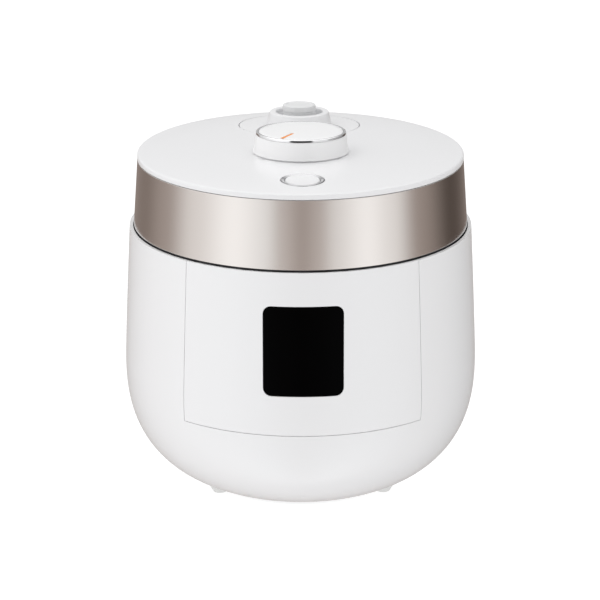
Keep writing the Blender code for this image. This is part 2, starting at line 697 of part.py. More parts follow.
def make_upper_frame(hinge_notch):
    """The dark deck inside the rim: an oval plate joined to the round recess for the ring."""
    recess = RING_OUTER + RING_PLAY
    wall = recess + WELL_WALL
    outer = body_radius(UPPER_PLATE_TOP) - SHELL_INSIDE
    low, high = UPPER_PLATE_BOTTOM, UPPER_PLATE_TOP
    deck = ring("upper_frame", POT_RADIUS, outer, low, high, DARK, stretch=PLAN_STRETCH)
    opening = recess + WELL_WALL / 2
    cut(deck, rod("recess_opening", opening, RECESS_FLOOR, BAND_TOP, DARK, steps=STEPS))
    floor_low = RECESS_FLOOR - 2.3 * MM
    floor_inner = FLANGE_RADIUS + 0.5 * MM
    cup = [
        (wall, UPPER_PLATE_TOP),
        (wall, floor_low),
        (floor_inner, floor_low),
        (floor_inner, RECESS_FLOOR),
        (recess, RECESS_FLOOR),
        (recess, UPPER_PLATE_TOP),
    ]
    join(deck, turned("ring_recess", cup, DARK))
    latch_slot = block(
        "latch_slot",
        (-7 * MM, -(outer * PLAN_STRETCH - 1.6 * MM), UPPER_PLATE_BOTTOM - MM),
        (7 * MM, -(RING_OUTER + 5 * MM), RIM_HEIGHT),
        DARK,
    )
    return cut(deck, hinge_notch, latch_slot)


def make_well():
    """The pot with its lugged flange, and the liner it hangs in."""
    pot_seat = POT_TOP - FLANGE_THICKNESS
    inside = POT_RADIUS - POT_WALL
    corner = (POT_RADIUS - POT_CORNER, POT_BOTTOM + POT_CORNER)
    inner_arc = arc(corner, POT_CORNER - POT_WALL, 270, 360, 3)
    outer_arc = arc(corner, POT_CORNER, 360, 270, 3)
    profile = [(0, POT_BOTTOM + POT_WALL), *inner_arc, (inside, POT_TOP - 2 * MM)]
    profile += [(inside + 2 * MM, POT_TOP), (FLANGE_RADIUS - 2 * MM, POT_TOP)]
    profile += [(FLANGE_RADIUS - 2 * MM, pot_seat), (POT_RADIUS, pot_seat), *outer_arc, (0, POT_BOTTOM)]
    inner_pot = turned("inner_pot", profile, POT_COAT)
    outlines = [lugged_circle(FLANGE_RADIUS, FLANGE_RADIUS + LUG_REACH), circle(POT_RADIUS + MM, 24)]
    join(inner_pot, plate("pot_lugs", outlines, pot_seat + 0.2 * MM, POT_TOP - 0.2 * MM, POT_COAT))

    liner = POT_RADIUS + WELL_PLAY
    outer = liner + WELL_WALL
    collar = FLANGE_RADIUS - MM
    seat = pot_seat - GAP
    flange_top = RECESS_FLOOR - 2.6 * MM
    floor = POT_BOTTOM - 2.5 * MM
    corner = (liner - POT_CORNER, floor + POT_CORNER)
    hole = SENSOR_RADIUS + 2 * MM
    profile = [(collar, seat), (collar, flange_top), (collar + 7 * MM, flange_top)]
    profile += [(collar + 7 * MM, flange_top - WELL_WALL), (outer, flange_top - WELL_WALL)]
    profile += arc(corner, POT_CORNER + WELL_WALL, 360, 270, 3)
    profile += [(hole, floor - WELL_WALL), (hole, floor)]
    profile += [*arc(corner, POT_CORNER, 270, 360, 3), (liner, seat)]
    well_liner = turned("well_liner", profile, HEAT_RESISTANT)
    return [inner_pot, well_liner]


def make_heating():
    """The induction winding on its carrier, the ferrites below it, and the sensor's spring."""
    coil_top = POT_BOTTOM - 2.5 * MM - WELL_WALL - 0.8 * MM
    coil_low = coil_top - COIL_THICKNESS
    work_coil = turned(
        "work_coil",
        [
            (COIL_OUTER - MM, coil_top),
            (COIL_OUTER, coil_top - MM),
            (COIL_OUTER, coil_low),
            (COIL_INNER, coil_low),
            (COIL_INNER, coil_top - MM),
            (COIL_INNER + MM, coil_top),
        ],
        COPPER,
    )
    top = coil_low - GAP
    low = top - CARRIER_THICKNESS
    web = low + CARRIER_THICKNESS / 2
    stem_hole = 6.5 * MM
    hub = SENSOR_RADIUS + 4 * MM
    edge = COIL_OUTER + 6 * MM
    profile = [(edge, top), (edge, low), (stem_hole, low), (stem_hole, web), (hub, web), (hub, top)]
    coil_carrier = turned("coil_carrier", profile, HEAT_RESISTANT)
    bars = []
    for index in range(FERRITE_COUNT):
        name = f"ferrite_bar_{index + 1}"
        size = [side / 2 for side in FERRITE_SIZE]
        bar = block(name, [-side for side in size], size, FERRITE, 0.8 * MM, 1)
        angle = math.pi / 2 + math.tau * index / FERRITE_COUNT
        middle = (COIL_OUTER + COIL_INNER) / 2
        height = low - GAP - size[2]
        bar.location = (middle * math.cos(angle), middle * math.sin(angle), height)
        bar.rotation_euler.z = angle
        bars.append(bar)
    sensor_top = POT_BOTTOM - GAP
    cap_low = sensor_top - 3.2 * MM
    stem = 4.5 * MM
    sensor_profile = [
        (0, sensor_top),
        (SENSOR_RADIUS - 0.6 * MM, sensor_top),
        (SENSOR_RADIUS, sensor_top - 0.6 * MM),
        (SENSOR_RADIUS, cap_low),
        (stem, cap_low),
        (stem, low - 6 * MM),
        (0, low - 6 * MM),
    ]
    sensor = turned("temperature_sensor", sensor_profile, ALUMINIUM, steps=SMALL_STEPS)
    spring = coil(
        "sensor_spring", 2 * stem, 0.8 * MM, web + GAP, cap_low - GAP, 3, STEEL, (0, 0, 0)
    )
    return [work_coil, coil_carrier, spring, *bars], sensor


def make_base():
    """The bottom cover with its air slots, the feet, the screws, and what stands on the cover."""
    cover_low = BASE_HEIGHT + 0.2 * MM
    cover_top = cover_low + SHELL_WALL
    edge = body_radius(BASE_HEIGHT) - BASE_MARGIN - 0.4 * MM
    profile = [(0, cover_top), (edge, cover_top), (edge, cover_low), (0, cover_low)]
    base_cover = turned("base_cover", profile, DARK, stretch=PLAN_STRETCH)
    slots = []
    for index in range(5):
        y = FAN_Y + (index - 2) * 11 * MM
        slot = block(
            f"air_slot_{index + 1}",
            (-26 * MM, y - 1.5 * MM, 0),
            (26 * MM, y + 1.5 * MM, 2 * cover_top),
            DARK,
        )
        slots.append(slot)
    cut(base_cover, *slots)
    corners = [(x, y) for x in (-1, 1) for y in (-1, 1)]
    clearance = body_solid("body_clearance_low", GAP)
    foot_x = body_radius(BASE_HEIGHT) * math.cos(FOOT_ANGLE)
    foot_y = body_radius(BASE_HEIGHT) * math.sin(FOOT_ANGLE) * PLAN_STRETCH
    feet, screws = [], []
    for index, (x, y) in enumerate(corners):
        foot = rod(
            f"foot_{index + 1}", FOOT_RADIUS - MM, 0, 15 * MM, FOOT_RUBBER,
            (x * foot_x, y * foot_y), top_radius=FOOT_RADIUS,
        )
        feet.append(cut(foot, clearance))
        place = (x * SCREW_X, y * SCREW_Y)
        head, shank = 3.4 * MM, 1.6 * MM
        profile = [
            (0, BASE_HEIGHT - 1.6 * MM),
            (head, BASE_HEIGHT - 1.6 * MM),
            (head, BASE_HEIGHT - 0.1 * MM),
            (shank, BASE_HEIGHT - 0.1 * MM),
            (shank, BASE_HEIGHT + 11 * MM),
            (0, BASE_HEIGHT + 11 * MM),
        ]
        screw = turned(f"base_screw_{index + 1}", profile[::-1], STEEL, (*place, 0), steps=12)
        bore = shank + 0.4 * MM
        cut(base_cover, rod(f"screw_hole_{index + 1}", bore, 0, 2 * cover_top, DARK, place, steps=12))
        screws.append(screw)
    return [base_cover, *feet, *screws]


def make_electrics():
    """The power board and its heat sink, and the fan that draws air through the base cover."""
    floor = BASE_HEIGHT + SHELL_WALL + 4 * MM
    half_x, half_y = BOARD_SIZE[0] / 2, BOARD_SIZE[1] / 2
    power_board = block(
        "power_board",
        (-half_x, BOARD_Y - half_y, floor),
        (half_x, BOARD_Y + half_y, floor + BOARD_SIZE[2]),
        BOARD,
    )
    sink_low = floor + BOARD_SIZE[2] + GAP
    pitch = SINK_SIZE[0] / SINK_FINS
    outline = [(-SINK_SIZE[0] / 2, sink_low), (SINK_SIZE[0] / 2, sink_low)]
    for fin in reversed(range(SINK_FINS)):
        right = -SINK_SIZE[0] / 2 + (fin + 1 if fin == SINK_FINS - 1 else fin + 0.4) * pitch
        left = right - 0.4 * pitch
        outline += [(right, sink_low + SINK_BASE)] if fin < SINK_FINS - 1 else []
        outline += [(right, sink_low + SINK_SIZE[2]), (left, sink_low + SINK_SIZE[2])]
        outline += [(left, sink_low + SINK_BASE)] if fin else []
    near = -BOARD_Y - SINK_SIZE[1] / 2
    heat_sink = plate("heat_sink", [outline], near, near + SINK_SIZE[1], ALUMINIUM, "Y")
    fan_low = BASE_HEIGHT + SHELL_WALL + 3 * MM
    half = FAN_SIZE / 2
    fan_frame = block(
        "fan_frame",
        (-half, FAN_Y - half, fan_low),
        (half, FAN_Y + half, fan_low + FAN_HEIGHT),
        DARK,
        5 * MM,
        2,
        upright_only=True,
    )
    cut(fan_frame, rod("fan_bore", half - 2.5 * MM, 0, POT_BOTTOM, DARK, (0, FAN_Y), steps=32))
    strut = block(
        "fan_strut",
        (-half + MM, FAN_Y - 2 * MM, fan_low + 0.1 * MM),
        (half - MM, FAN_Y + 2 * MM, fan_low + 2.5 * MM),
        DARK,
    )
    join(fan_frame, strut, rod("fan_motor", FAN_HUB, fan_low, fan_low + 3 * MM, DARK, (0, FAN_Y)))
    rotor_low = fan_low + 3.5 * MM
    rotor_top = fan_low + FAN_HEIGHT - MM
    fan_rotor = rod("fan_rotor", FAN_HUB + MM, rotor_low, rotor_top, DARK, (0, FAN_Y))
    blades = []
    for index in range(FAN_BLADES):
        blade = block(
            f"fan_blade_{index + 1}",
            (FAN_HUB - MM, -5 * MM, -0.8 * MM),
            (half - 5 * MM, 5 * MM, 0.8 * MM),
            DARK,
        )
        middle = (FAN_HUB + half - 6 * MM) / 2
        blade.data.transform(Matrix.Translation((middle, 0, 0)) @ Matrix.Rotation(0.6, 4, "X"))
        blade.location = (0, FAN_Y, (rotor_low + rotor_top) / 2)
        blade.rotation_euler.z = math.tau * index / FAN_BLADES
        blades.append(blade)
    join(fan_rotor, *blades)
    return [power_board, heat_sink, fan_frame], fan_rotor


def make_rear():
    """The housing behind the body, which holds the hinge pin, the power inlet and the cup."""
    half = HOUSING_WIDTH / 2
    low, high = HOUSING_BOTTOM, HOUSING_TOP
    rear_housing = block(
        "rear_housing", (-half, POT_RADIUS, low), (half, REAR_REACH, high), WHITE, 8 * MM, 3
    )
    hollow_top = HINGE_Z - KNUCKLE_RADIUS - HINGE_CLEARANCE - HOUSING_WALL - 4 * MM
    hollow = block(
        "housing_hollow",
        (-half + HOUSING_WALL, POT_RADIUS - MM, low + HOUSING_WALL),
        (half - HOUSING_WALL, REAR_REACH - HOUSING_WALL, hollow_top),
        WHITE,
        5 * MM,
        2,
    )
    slot_half = KNUCKLE_OUTER + HINGE_CLEARANCE
    place = (HINGE_Y, HINGE_Z)
    slot = rod("hinge_slot", HINGE_SLOT_RADIUS, -slot_half, slot_half, WHITE, place, "X", 32)
    slot_mouth = block(
        "hinge_slot_mouth",
        (-slot_half, POT_RADIUS, HINGE_Z),
        (slot_half, HINGE_Y + HINGE_SLOT_RADIUS, high + 20 * MM),
        WHITE,
    )
    arm_way = block(
        "hinge_arm_way",
        (-slot_half, POT_RADIUS, HINGE_Z - KNUCKLE_RADIUS - HINGE_CLEARANCE),
        (slot_half, HINGE_Y, high + 10 * MM),
        WHITE,
    )
    pin_half = half - 4 * MM
    bore = rod(
        "hinge_bore", HINGE_PIN_RADIUS + RUNNING, -pin_half - MM, pin_half + MM, WHITE, place, "X"
    )
    inlet_low = INLET_CENTRE - INLET_HEIGHT / 2
    inlet_opening = block(
        "inlet_opening",
        (-INLET_WIDTH / 2 - GAP, REAR_REACH - 10 * MM, inlet_low - GAP),
        (INLET_WIDTH / 2 + GAP, REAR_REACH + 10 * MM, inlet_low + INLET_HEIGHT + GAP),
        WHITE,
    )
    cup_opening = block(
        "cup_opening",
        (-CUP_WIDTH / 2 - SEAM, REAR_REACH - 10 * MM, CUP_BOTTOM - SEAM),
        (CUP_WIDTH / 2 + SEAM, REAR_REACH + 10 * MM, CUP_TOP + SEAM),
        WHITE,
    )
    clearance = body_solid("body_clearance", GAP)
    cut(rear_housing, clearance, hollow, slot, slot_mouth, arm_way, bore, inlet_opening, cup_opening)
    hinge_pin = rod("hinge_pin", HINGE_PIN_RADIUS, -pin_half, pin_half, STEEL, place, "X", 16)
    lid_spring = coil(
        "lid_spring", 5.4 * MM, MM, -20 * MM, 20 * MM, 4, STEEL, (0, *place), "X"
    )
    power_inlet = block(
        "power_inlet",
        (-INLET_WIDTH / 2, REAR_REACH - INLET_DEPTH, inlet_low),
        (INLET_WIDTH / 2, REAR_REACH, inlet_low + INLET_HEIGHT),
        DARK,
        MM,
        1,
    )
    socket = block(
        "inlet_socket",
        (-INLET_WIDTH / 2 + INLET_WALL, REAR_REACH - INLET_DEPTH + 7 * MM, inlet_low + INLET_WALL),
        (INLET_WIDTH / 2 - INLET_WALL, REAR_REACH + MM, inlet_low + INLET_HEIGHT - INLET_WALL),
        DARK,
        2 * MM,
        2,
    )
    cut(power_inlet, socket)
    pins = []
    for index, side in enumerate((-1, 1)):
        at = (side * INLET_PIN_SPACING / 2, INLET_CENTRE)
        start, end = REAR_REACH - INLET_DEPTH + MM, REAR_REACH - 4 * MM
        pins.append(rod(f"inlet_pin_{index + 1}", INLET_PIN_RADIUS, start, end, BRASS, at, "Y", 12))
        bore = INLET_PIN_RADIUS + GAP
        cut(
            power_inlet,
            rod(f"pin_bore_{index + 1}", bore, start - 2 * MM, REAR_REACH, DARK, at, "Y", 12),
        )
    cup = block(
        "condensate_cup",
        (-CUP_WIDTH / 2, CUP_FRONT, CUP_BOTTOM),
        (CUP_WIDTH / 2, REAR_REACH, CUP_TOP),
        CLEAR,
        3 * MM,
        2,
        upright_only=True,
    )
    inside = block(
        "cup_inside",
        (-CUP_WIDTH / 2 + CUP_WALL, CUP_FRONT + CUP_WALL, CUP_BOTTOM + CUP_WALL),
        (CUP_WIDTH / 2 - CUP_WALL, REAR_REACH - CUP_WALL, CUP_TOP + 10 * MM),
        CLEAR,
        2 * MM,
        2,
        upright_only=True,
    )
    cut(cup, inside)
    return [rear_housing, hinge_pin, lid_spring, power_inlet, *pins], cup


# ---------------------------------------------------------------- lid pieces

def band_radius(height):
    """Half-width of the band's outside."""
    share = (height - BAND_BOTTOM) / (BAND_TOP - BAND_BOTTOM)
    return BAND_BOTTOM_RADIUS + share * (BAND_TOP_RADIUS - BAND_BOTTOM_RADIUS)


def make_lid_shell():
    """The cover, the vent dish let into it, the band below it and the frame inside them."""
    lid_cover = lid_cover_blank("lid_cover")
    holes = (
        ("dish_hole", DISH_RADIUS + 0.35 * MM, VENT_Y),
        ("button_hole", BUTTON_RING_RADIUS + GAP, BUTTON_Y),
        ("shaft_hole", 2 * SHAFT_RADIUS, KNOB_Y),
    )
    for name, radius, y in holes:
        cut(lid_cover, rod(name, radius, FRAME_TOP, KNOB_CROWN, WHITE, (0, y), steps=STEPS))

    vent_dish = lid_cover_blank("vent_dish")
    place = (0, VENT_Y)
    common(vent_dish, rod("dish_limit", DISH_RADIUS, FRAME_TOP, KNOB_CROWN, WHITE, place, steps=STEPS))
    nozzle_bore = NOZZLE_RADIUS + 0.6 * MM
    cut(vent_dish, rod("dish_nozzle_hole", nozzle_bore, FRAME_TOP, KNOB_CROWN, WHITE, place))

    inside = BAND_THICKNESS
    band_profile = [
        (BAND_TOP_RADIUS, BAND_TOP),
        (BAND_BOTTOM_RADIUS, BAND_BOTTOM),
        (BAND_BOTTOM_RADIUS - inside, BAND_BOTTOM),
        (BAND_TOP_RADIUS - inside, BAND_TOP),
    ]
    lid_band = turned("lid_band", band_profile, BAND, stretch=PLAN_STRETCH)
    return [lid_cover, vent_dish, lid_band, make_lid_frame()]


def make_lid_frame():
    """The lid's structure: a tapered wall, a floor over the locking ring, a skirt below."""
    wall = FRAME_WALL
    fit = BAND_THICKNESS + 0.4 * MM
    floor_top = FRAME_FLOOR + FRAME_FLOOR_THICKNESS
    skirt_top = BAND_BOTTOM - GAP
    skirt = BAND_BOTTOM_RADIUS - GAP
    profile = [
        (0, floor_top),
        (band_radius(floor_top) - fit - wall, floor_top),
        (band_radius(FRAME_TOP) - fit - wall, FRAME_TOP),
        (band_radius(FRAME_TOP) - fit, FRAME_TOP),
        (band_radius(BAND_BOTTOM) - fit, skirt_top),
        (skirt, skirt_top),
        (skirt, FRAME_BOTTOM),
        (POT_RADIUS, FRAME_BOTTOM),
        (POT_RADIUS, skirt_top),
        (band_radius(skirt_top) - fit - wall, skirt_top),
        (band_radius(FRAME_FLOOR) - fit - wall, FRAME_FLOOR),
        (0, FRAME_FLOOR),
    ]
    frame = turned("lid_frame", profile, DARK, stretch=PLAN_STRETCH)
    room = RING_OUTER + 0.8 * MM
    chamber = rod("ring_chamber", room, RING_BOTTOM, FRAME_FLOOR - MM, DARK, steps=STEPS)
    cut(frame, chamber)
    holes = (
        ("frame_shaft_hole", SHAFT_RADIUS, (0, KNOB_Y)),
        ("frame_nozzle_hole", NOZZLE_RADIUS, (0, VENT_Y)),
        ("frame_plunger_hole", PLUNGER_RADIUS, PLUNGER_PLACE),
    )
    for name, radius, place in holes:
        cut(frame, rod(name, radius + 0.5 * MM, RING_TOP, FRAME_TOP, DARK, place))
    latch = block(
        "frame_latch_slot",
        (-LATCH_WIDTH / 2 - 1.5 * MM, LATCH_PIVOT_Y - 8.1 * MM, FRAME_BOTTOM - MM),
        (LATCH_WIDTH / 2 + 1.5 * MM, -(RING_OUTER + 5 * MM), floor_top + MM),
        DARK,
    )
    cut(frame, latch)
    for index, side in enumerate((-1, 1)):
        near = LATCH_WIDTH / 2 + 1.9 * MM
        ends = sorted((side * near, side * (near + 4 * MM)))
        ear = block(
            f"latch_ear_{index + 1}",
            (ends[0], LATCH_PIVOT_Y - LATCH_EYE, floor_top - MM),
            (ends[1], LATCH_PIVOT_Y + LATCH_EYE, LATCH_PIVOT_Z + LATCH_EYE),
            DARK,
        )
        join(frame, ear)
    bore, pivot = LATCH_PIN_RADIUS + RUNNING, (LATCH_PIVOT_Y, LATCH_PIVOT_Z)
    return cut(frame, rod("latch_pin_bore", bore, -12 * MM, 12 * MM, DARK, pivot, "X"))


def make_pressure_parts():
    """The plate that closes the pot, the inner lid and gasket below it, and the steam way."""
    bevel = 1.5 * MM
    edge = RING_OUTER - RING_WALL - 2.5 * MM
    boss_top = FRAME_FLOOR - 0.4 * MM
    profile = [
        (0, boss_top),
        (PIVOT_RADIUS, boss_top),
        (PIVOT_RADIUS, PLATE_TOP),
        (edge, PLATE_TOP),
        (edge, PLATE_BOTTOM + bevel),
        (edge - 3 * bevel, PLATE_BOTTOM),
        (0, PLATE_BOTTOM),
    ]
    pressure_plate = turned("pressure_plate", profile, ALUMINIUM)
    low, high = POT_TOP, FRAME_FLOOR - MM
    cut(
        pressure_plate,
        rod("plate_steam_hole", 2 * MM, low, high, ALUMINIUM, (0, VENT_Y), steps=12),
        rod("plate_plunger_hole", 2 * MM, low, high, ALUMINIUM, PLUNGER_PLACE, steps=12),
        rod("plate_valve_hole", VALVE_STEM + GAP, low, high, ALUMINIUM, VALVE_PLACE, steps=16),
    )
    lid_low = POT_TOP + 2.4 * MM
    lid_top = lid_low + 2.6 * MM
    clip = 9 * MM
    profile = [
        (0, PLATE_BOTTOM - 2 * GAP),
        (clip, PLATE_BOTTOM - 2 * GAP),
        (clip, lid_top),
        (INNER_LID_RADIUS, lid_top),
        (INNER_LID_RADIUS, lid_low),
        (0, lid_low),
    ]
    inner_lid = turned("inner_lid", profile, STEEL)
    holes = [
        rod(f"steam_hole_{i + 1}", 2 * MM, low, high, STEEL, (x * MM, y * MM), steps=8)
        for i, (x, y) in enumerate(((0, 70), (-45, 62), (-58, 15.5), (45, 62), (58, 15.5)))
    ]
    cut(inner_lid, *holes)
    inner = INNER_LID_RADIUS + 0.4 * MM
    outer = inner + GASKET_WIDTH
    gasket_low = POT_TOP + 0.4 * MM
    gasket_top = PLATE_BOTTOM - 0.4 * MM
    lip = 2 * MM
    gasket_profile = [
        (outer, gasket_top),
        (outer, gasket_low + lip),
        (outer - lip / 2, gasket_low),
        (inner + lip / 2, gasket_low),
        (inner, gasket_low + lip),
        (inner, gasket_top),
    ]
    gasket = turned("gasket", gasket_profile, RUBBER)
    return [pressure_plate, inner_lid, gasket]


def make_vent():
    """The nozzle, the cup round it and the weight that sits on it."""
    nozzle_top = WEIGHT_BOTTOM + 3.6 * MM
    steam_nozzle = ring(
        "steam_nozzle", NOZZLE_BORE, NOZZLE_RADIUS, PLATE_TOP + GAP, nozzle_top, STEEL,
        (0, VENT_Y, 0), steps=SMALL_STEPS,
    )
    floor = WEIGHT_BOTTOM - 0.6 * MM
    low = BAND_TOP + LID_EDGE
    rim = MM
    profile = [
        (SHROUD_TOP_RADIUS - rim, SHROUD_TOP),
        (SHROUD_TOP_RADIUS, SHROUD_TOP - rim),
        (SHROUD_BASE_RADIUS, floor - 2 * MM),
        (SHROUD_BASE_RADIUS, low),
        (NOZZLE_RADIUS + MM, low),
        (NOZZLE_RADIUS + MM, floor),
        (SHROUD_MOUTH - 0.4 * MM, floor),
        (SHROUD_MOUTH, SHROUD_TOP - rim),
        (SHROUD_MOUTH + rim / 2, SHROUD_TOP),
    ]
    shroud = turned("weight_shroud", profile, WHITE, (0, VENT_Y, 0), steps=SMALL_STEPS)
    cut(shroud, lid_top_solid("shroud_seat", GAP))
    socket = NOZZLE_RADIUS + 0.8 * MM
    socket_top = nozzle_top + 0.8 * MM
    profile = [
        (0, WEIGHT_TOP),
        (WEIGHT_RADIUS - 3 * MM, WEIGHT_TOP - 0.2 * MM),
        (WEIGHT_RADIUS - 0.5 * MM, WEIGHT_TOP - 0.9 * MM),
        (WEIGHT_RADIUS, WEIGHT_TOP - 2 * MM),
        (WEIGHT_RADIUS, WEIGHT_BOTTOM),
        (socket, WEIGHT_BOTTOM),
        (socket, socket_top),
        (0, socket_top),
    ]
    weight = turned("pressure_weight", profile, WHITE, (0, VENT_Y, 0), steps=SMALL_STEPS)
    return [steam_nozzle, shroud], weight


def make_valves():
    """The solenoid that opens the steam valve, its plunger, and the safety valve."""
    floor_top = FRAME_FLOOR + FRAME_FLOOR_THICKNESS
    x, y = PLUNGER_PLACE
    half = 12 * MM
    low, high = floor_top + GAP, floor_top + 26 * MM
    solenoid = block(
        "solenoid", (x - half, y - half, low), (x + half, y + half, high), DARK, 1.5 * MM, 1
    )
    bore = PLUNGER_RADIUS + 0.4 * MM
    cut(solenoid, rod("solenoid_bore", bore, low - MM, high + MM, DARK, PLUNGER_PLACE))
    low, high = RING_TOP + MM, high - 4 * MM
    plunger = rod("solenoid_plunger", PLUNGER_RADIUS, low, high, STEEL, PLUNGER_PLACE)
    head = 5.5 * MM
    profile = [
        (0, PLATE_TOP + 5 * MM),
        (head - MM, PLATE_TOP + 5 * MM),
        (head, PLATE_TOP + 4 * MM),
        (head, PLATE_TOP + GAP),
        (VALVE_STEM, PLATE_TOP + GAP),
        (VALVE_STEM, PLATE_BOTTOM + GAP),
        (0, PLATE_BOTTOM + GAP),
    ]
    safety_valve = turned("safety_valve", profile, BRASS, (*VALVE_PLACE, 0), steps=16)
    return [solenoid], plunger, safety_valve


def make_open_button():
    """The flush button in its ring, its spring, and the hooked lever that it pushes."""
    cap_low = dome_height(-BUTTON_Y / PLAN_STRETCH) - 4.6 * MM
    stem_low = LATCH_LEVER_TOP + GAP
    above = KNOB_CROWN
    profile = [
        (0, above), (BUTTON_RADIUS, above), (BUTTON_RADIUS, cap_low),
        (BUTTON_STEM, cap_low), (BUTTON_STEM, stem_low), (0, stem_low),
    ]
    button = turned("open_button", profile, WHITE, (0, BUTTON_Y, 0), steps=32)
    common(button, lid_top_solid("button_top", 0.1 * MM))
    inner = BUTTON_RADIUS + BUTTON_PLAY
    floor = cap_low - BUTTON_SPRING_HEIGHT
    profile = [
        (BUTTON_RING_RADIUS, above),
        (BUTTON_RING_RADIUS, floor - 2 * MM),
        (BUTTON_STEM + 0.6 * MM, floor - 2 * MM),
        (BUTTON_STEM + 0.6 * MM, floor),
        (inner, floor),
        (inner, above),
    ]
    housing = turned("button_ring", profile, CHROME, (0, BUTTON_Y, 0), steps=32)
    common(housing, lid_top_solid("button_ring_top", 0.3 * MM))
    spring_low, spring_top = floor + GAP, cap_low - GAP
    place = (0, BUTTON_Y, 0)
    spring = coil(
        "button_spring", 2.2 * BUTTON_STEM, 0.6 * MM, spring_low, spring_top, 3, STEEL, place
    )
    return [housing, spring], button


def make_latch():
    """The hooked lever below the open button, and the pin that it turns on."""
    y, z = LATCH_PIVOT_Y, LATCH_PIVOT_Z
    eye = LATCH_EYE
    lever_end = BUTTON_Y + BUTTON_STEM
    arm_front = y - eye
    arm_back = arm_front + LATCH_ARM
    outline = [
        (lever_end, LATCH_LEVER_TOP),
        (y, LATCH_LEVER_TOP),
        (arm_front + MM, z + eye),
        (arm_front, z),
        (arm_front, LATCH_NOSE_BOTTOM + MM),
        (arm_front + MM, LATCH_NOSE_BOTTOM),
        (arm_back, LATCH_NOSE_BOTTOM),
        (arm_back + 2.8 * MM, LATCH_NOSE_TOP - MM),
        (arm_back + 2.8 * MM, LATCH_NOSE_TOP),
        (arm_back, LATCH_NOSE_TOP),
        (arm_back, z - 2 * eye),
        (y + eye, z - eye / 2),
        (y + eye, LATCH_LEVER_TOP - eye),
        (lever_end, LATCH_LEVER_TOP - eye / 2),
    ]
    hook = plate("latch_hook", [outline], -LATCH_WIDTH / 2, LATCH_WIDTH / 2, STEEL, facing="X")
    bore = LATCH_PIN_RADIUS + RUNNING
    cut(hook, rod("hook_bore", bore, -LATCH_WIDTH, LATCH_WIDTH, STEEL, (y, z), "X"))
    latch_pin = rod("latch_pin", LATCH_PIN_RADIUS, -9.5 * MM, 9.5 * MM, STEEL, (y, z), "X")
    return latch_pin, hook


def make_lock():
    """The knob with its chrome ring, marker and pinion, and the locking ring it turns."""
    seat = KNOB_SHOULDER
    dome_radius = KNOB_TOP_RADIUS - KNOB_RING_WIDTH - 0.4 * MM
    edge_height = KNOB_CROWN - 1.5 * MM
    boss = 2 * SHAFT_RADIUS
    wall = 2 * MM
    bore = SHAFT_RADIUS + GAP
    fall = KNOB_CROWN - edge_height
    crown = [(dome_radius * share, KNOB_CROWN - fall * share**2) for share in (0, 0.5, 1)]
    profile = crown + [
        (dome_radius, seat),
        (KNOB_TOP_RADIUS - 0.3 * MM, seat),
        (KNOB_TOP_RADIUS, seat - 0.3 * MM),
        (KNOB_BASE_RADIUS, KNOB_BOTTOM),
        (KNOB_BASE_RADIUS - wall, KNOB_BOTTOM),
        (KNOB_TOP_RADIUS - wall, seat - wall),
        (boss, seat - wall),
        (boss, KNOB_BOTTOM + 2 * MM),
        (bore, KNOB_BOTTOM + 2 * MM),
        (bore, seat - 1.2 * MM),
        (0, seat - 1.2 * MM),
    ]
    knob = turned("lock_knob", profile, WHITE, (0, KNOB_Y, 0), steps=32)
    ring_low = seat + 0.2 * MM
    knob_trim_ring = ring(
        "knob_trim_ring", KNOB_TOP_RADIUS - KNOB_RING_WIDTH, KNOB_TOP_RADIUS, ring_low,
        ring_low + KNOB_RING_HEIGHT, CHROME, (0, KNOB_Y, 0), steps=32,
    )
    far = dome_radius - 1.5 * MM
    marker = block(
        "knob_marker",
        (far - MARKER_LENGTH, -MARKER_WIDTH / 2, edge_height - 0.5 * MM),
        (far, MARKER_WIDTH / 2, KNOB_CROWN - 0.6 * MM),
        ORANGE,
        0.3 * MM,
        1,
    )
    pocket = block(
        "marker_pocket",
        (far - MARKER_LENGTH - 0.2 * MM, -MARKER_WIDTH / 2 - 0.2 * MM, edge_height - 0.7 * MM),
        (far + 0.2 * MM, MARKER_WIDTH / 2 + 0.2 * MM, KNOB_CROWN + MM),
        ORANGE,
    )
    for piece in (marker, pocket):
        middle = piece.location.copy()
        piece.data.transform(Matrix.Translation((middle.x, 0, 0)))
        piece.location = (0, KNOB_Y, middle.z)
        piece.rotation_euler.z = MARKER_ANGLE
    cut(knob, pocket)

    half_tooth = math.pi / PINION_TEETH
    pinion = plate(
        "knob_pinion",
        [gear_outline(PINION_TEETH, turn=-math.pi / 2 + half_tooth)],
        RING_TOP - RING_FLANGE - 0.7 * MM,
        RING_TOP + MM,
        BRASS,
        at=(0, KNOB_Y, 0),
    )
    shaft = rod("knob_shaft", SHAFT_RADIUS, RING_TOP, seat - 1.6 * MM, BRASS, (0, KNOB_Y))
    join(pinion, shaft)
    return [knob, knob_trim_ring, marker, pinion], make_locking_ring()


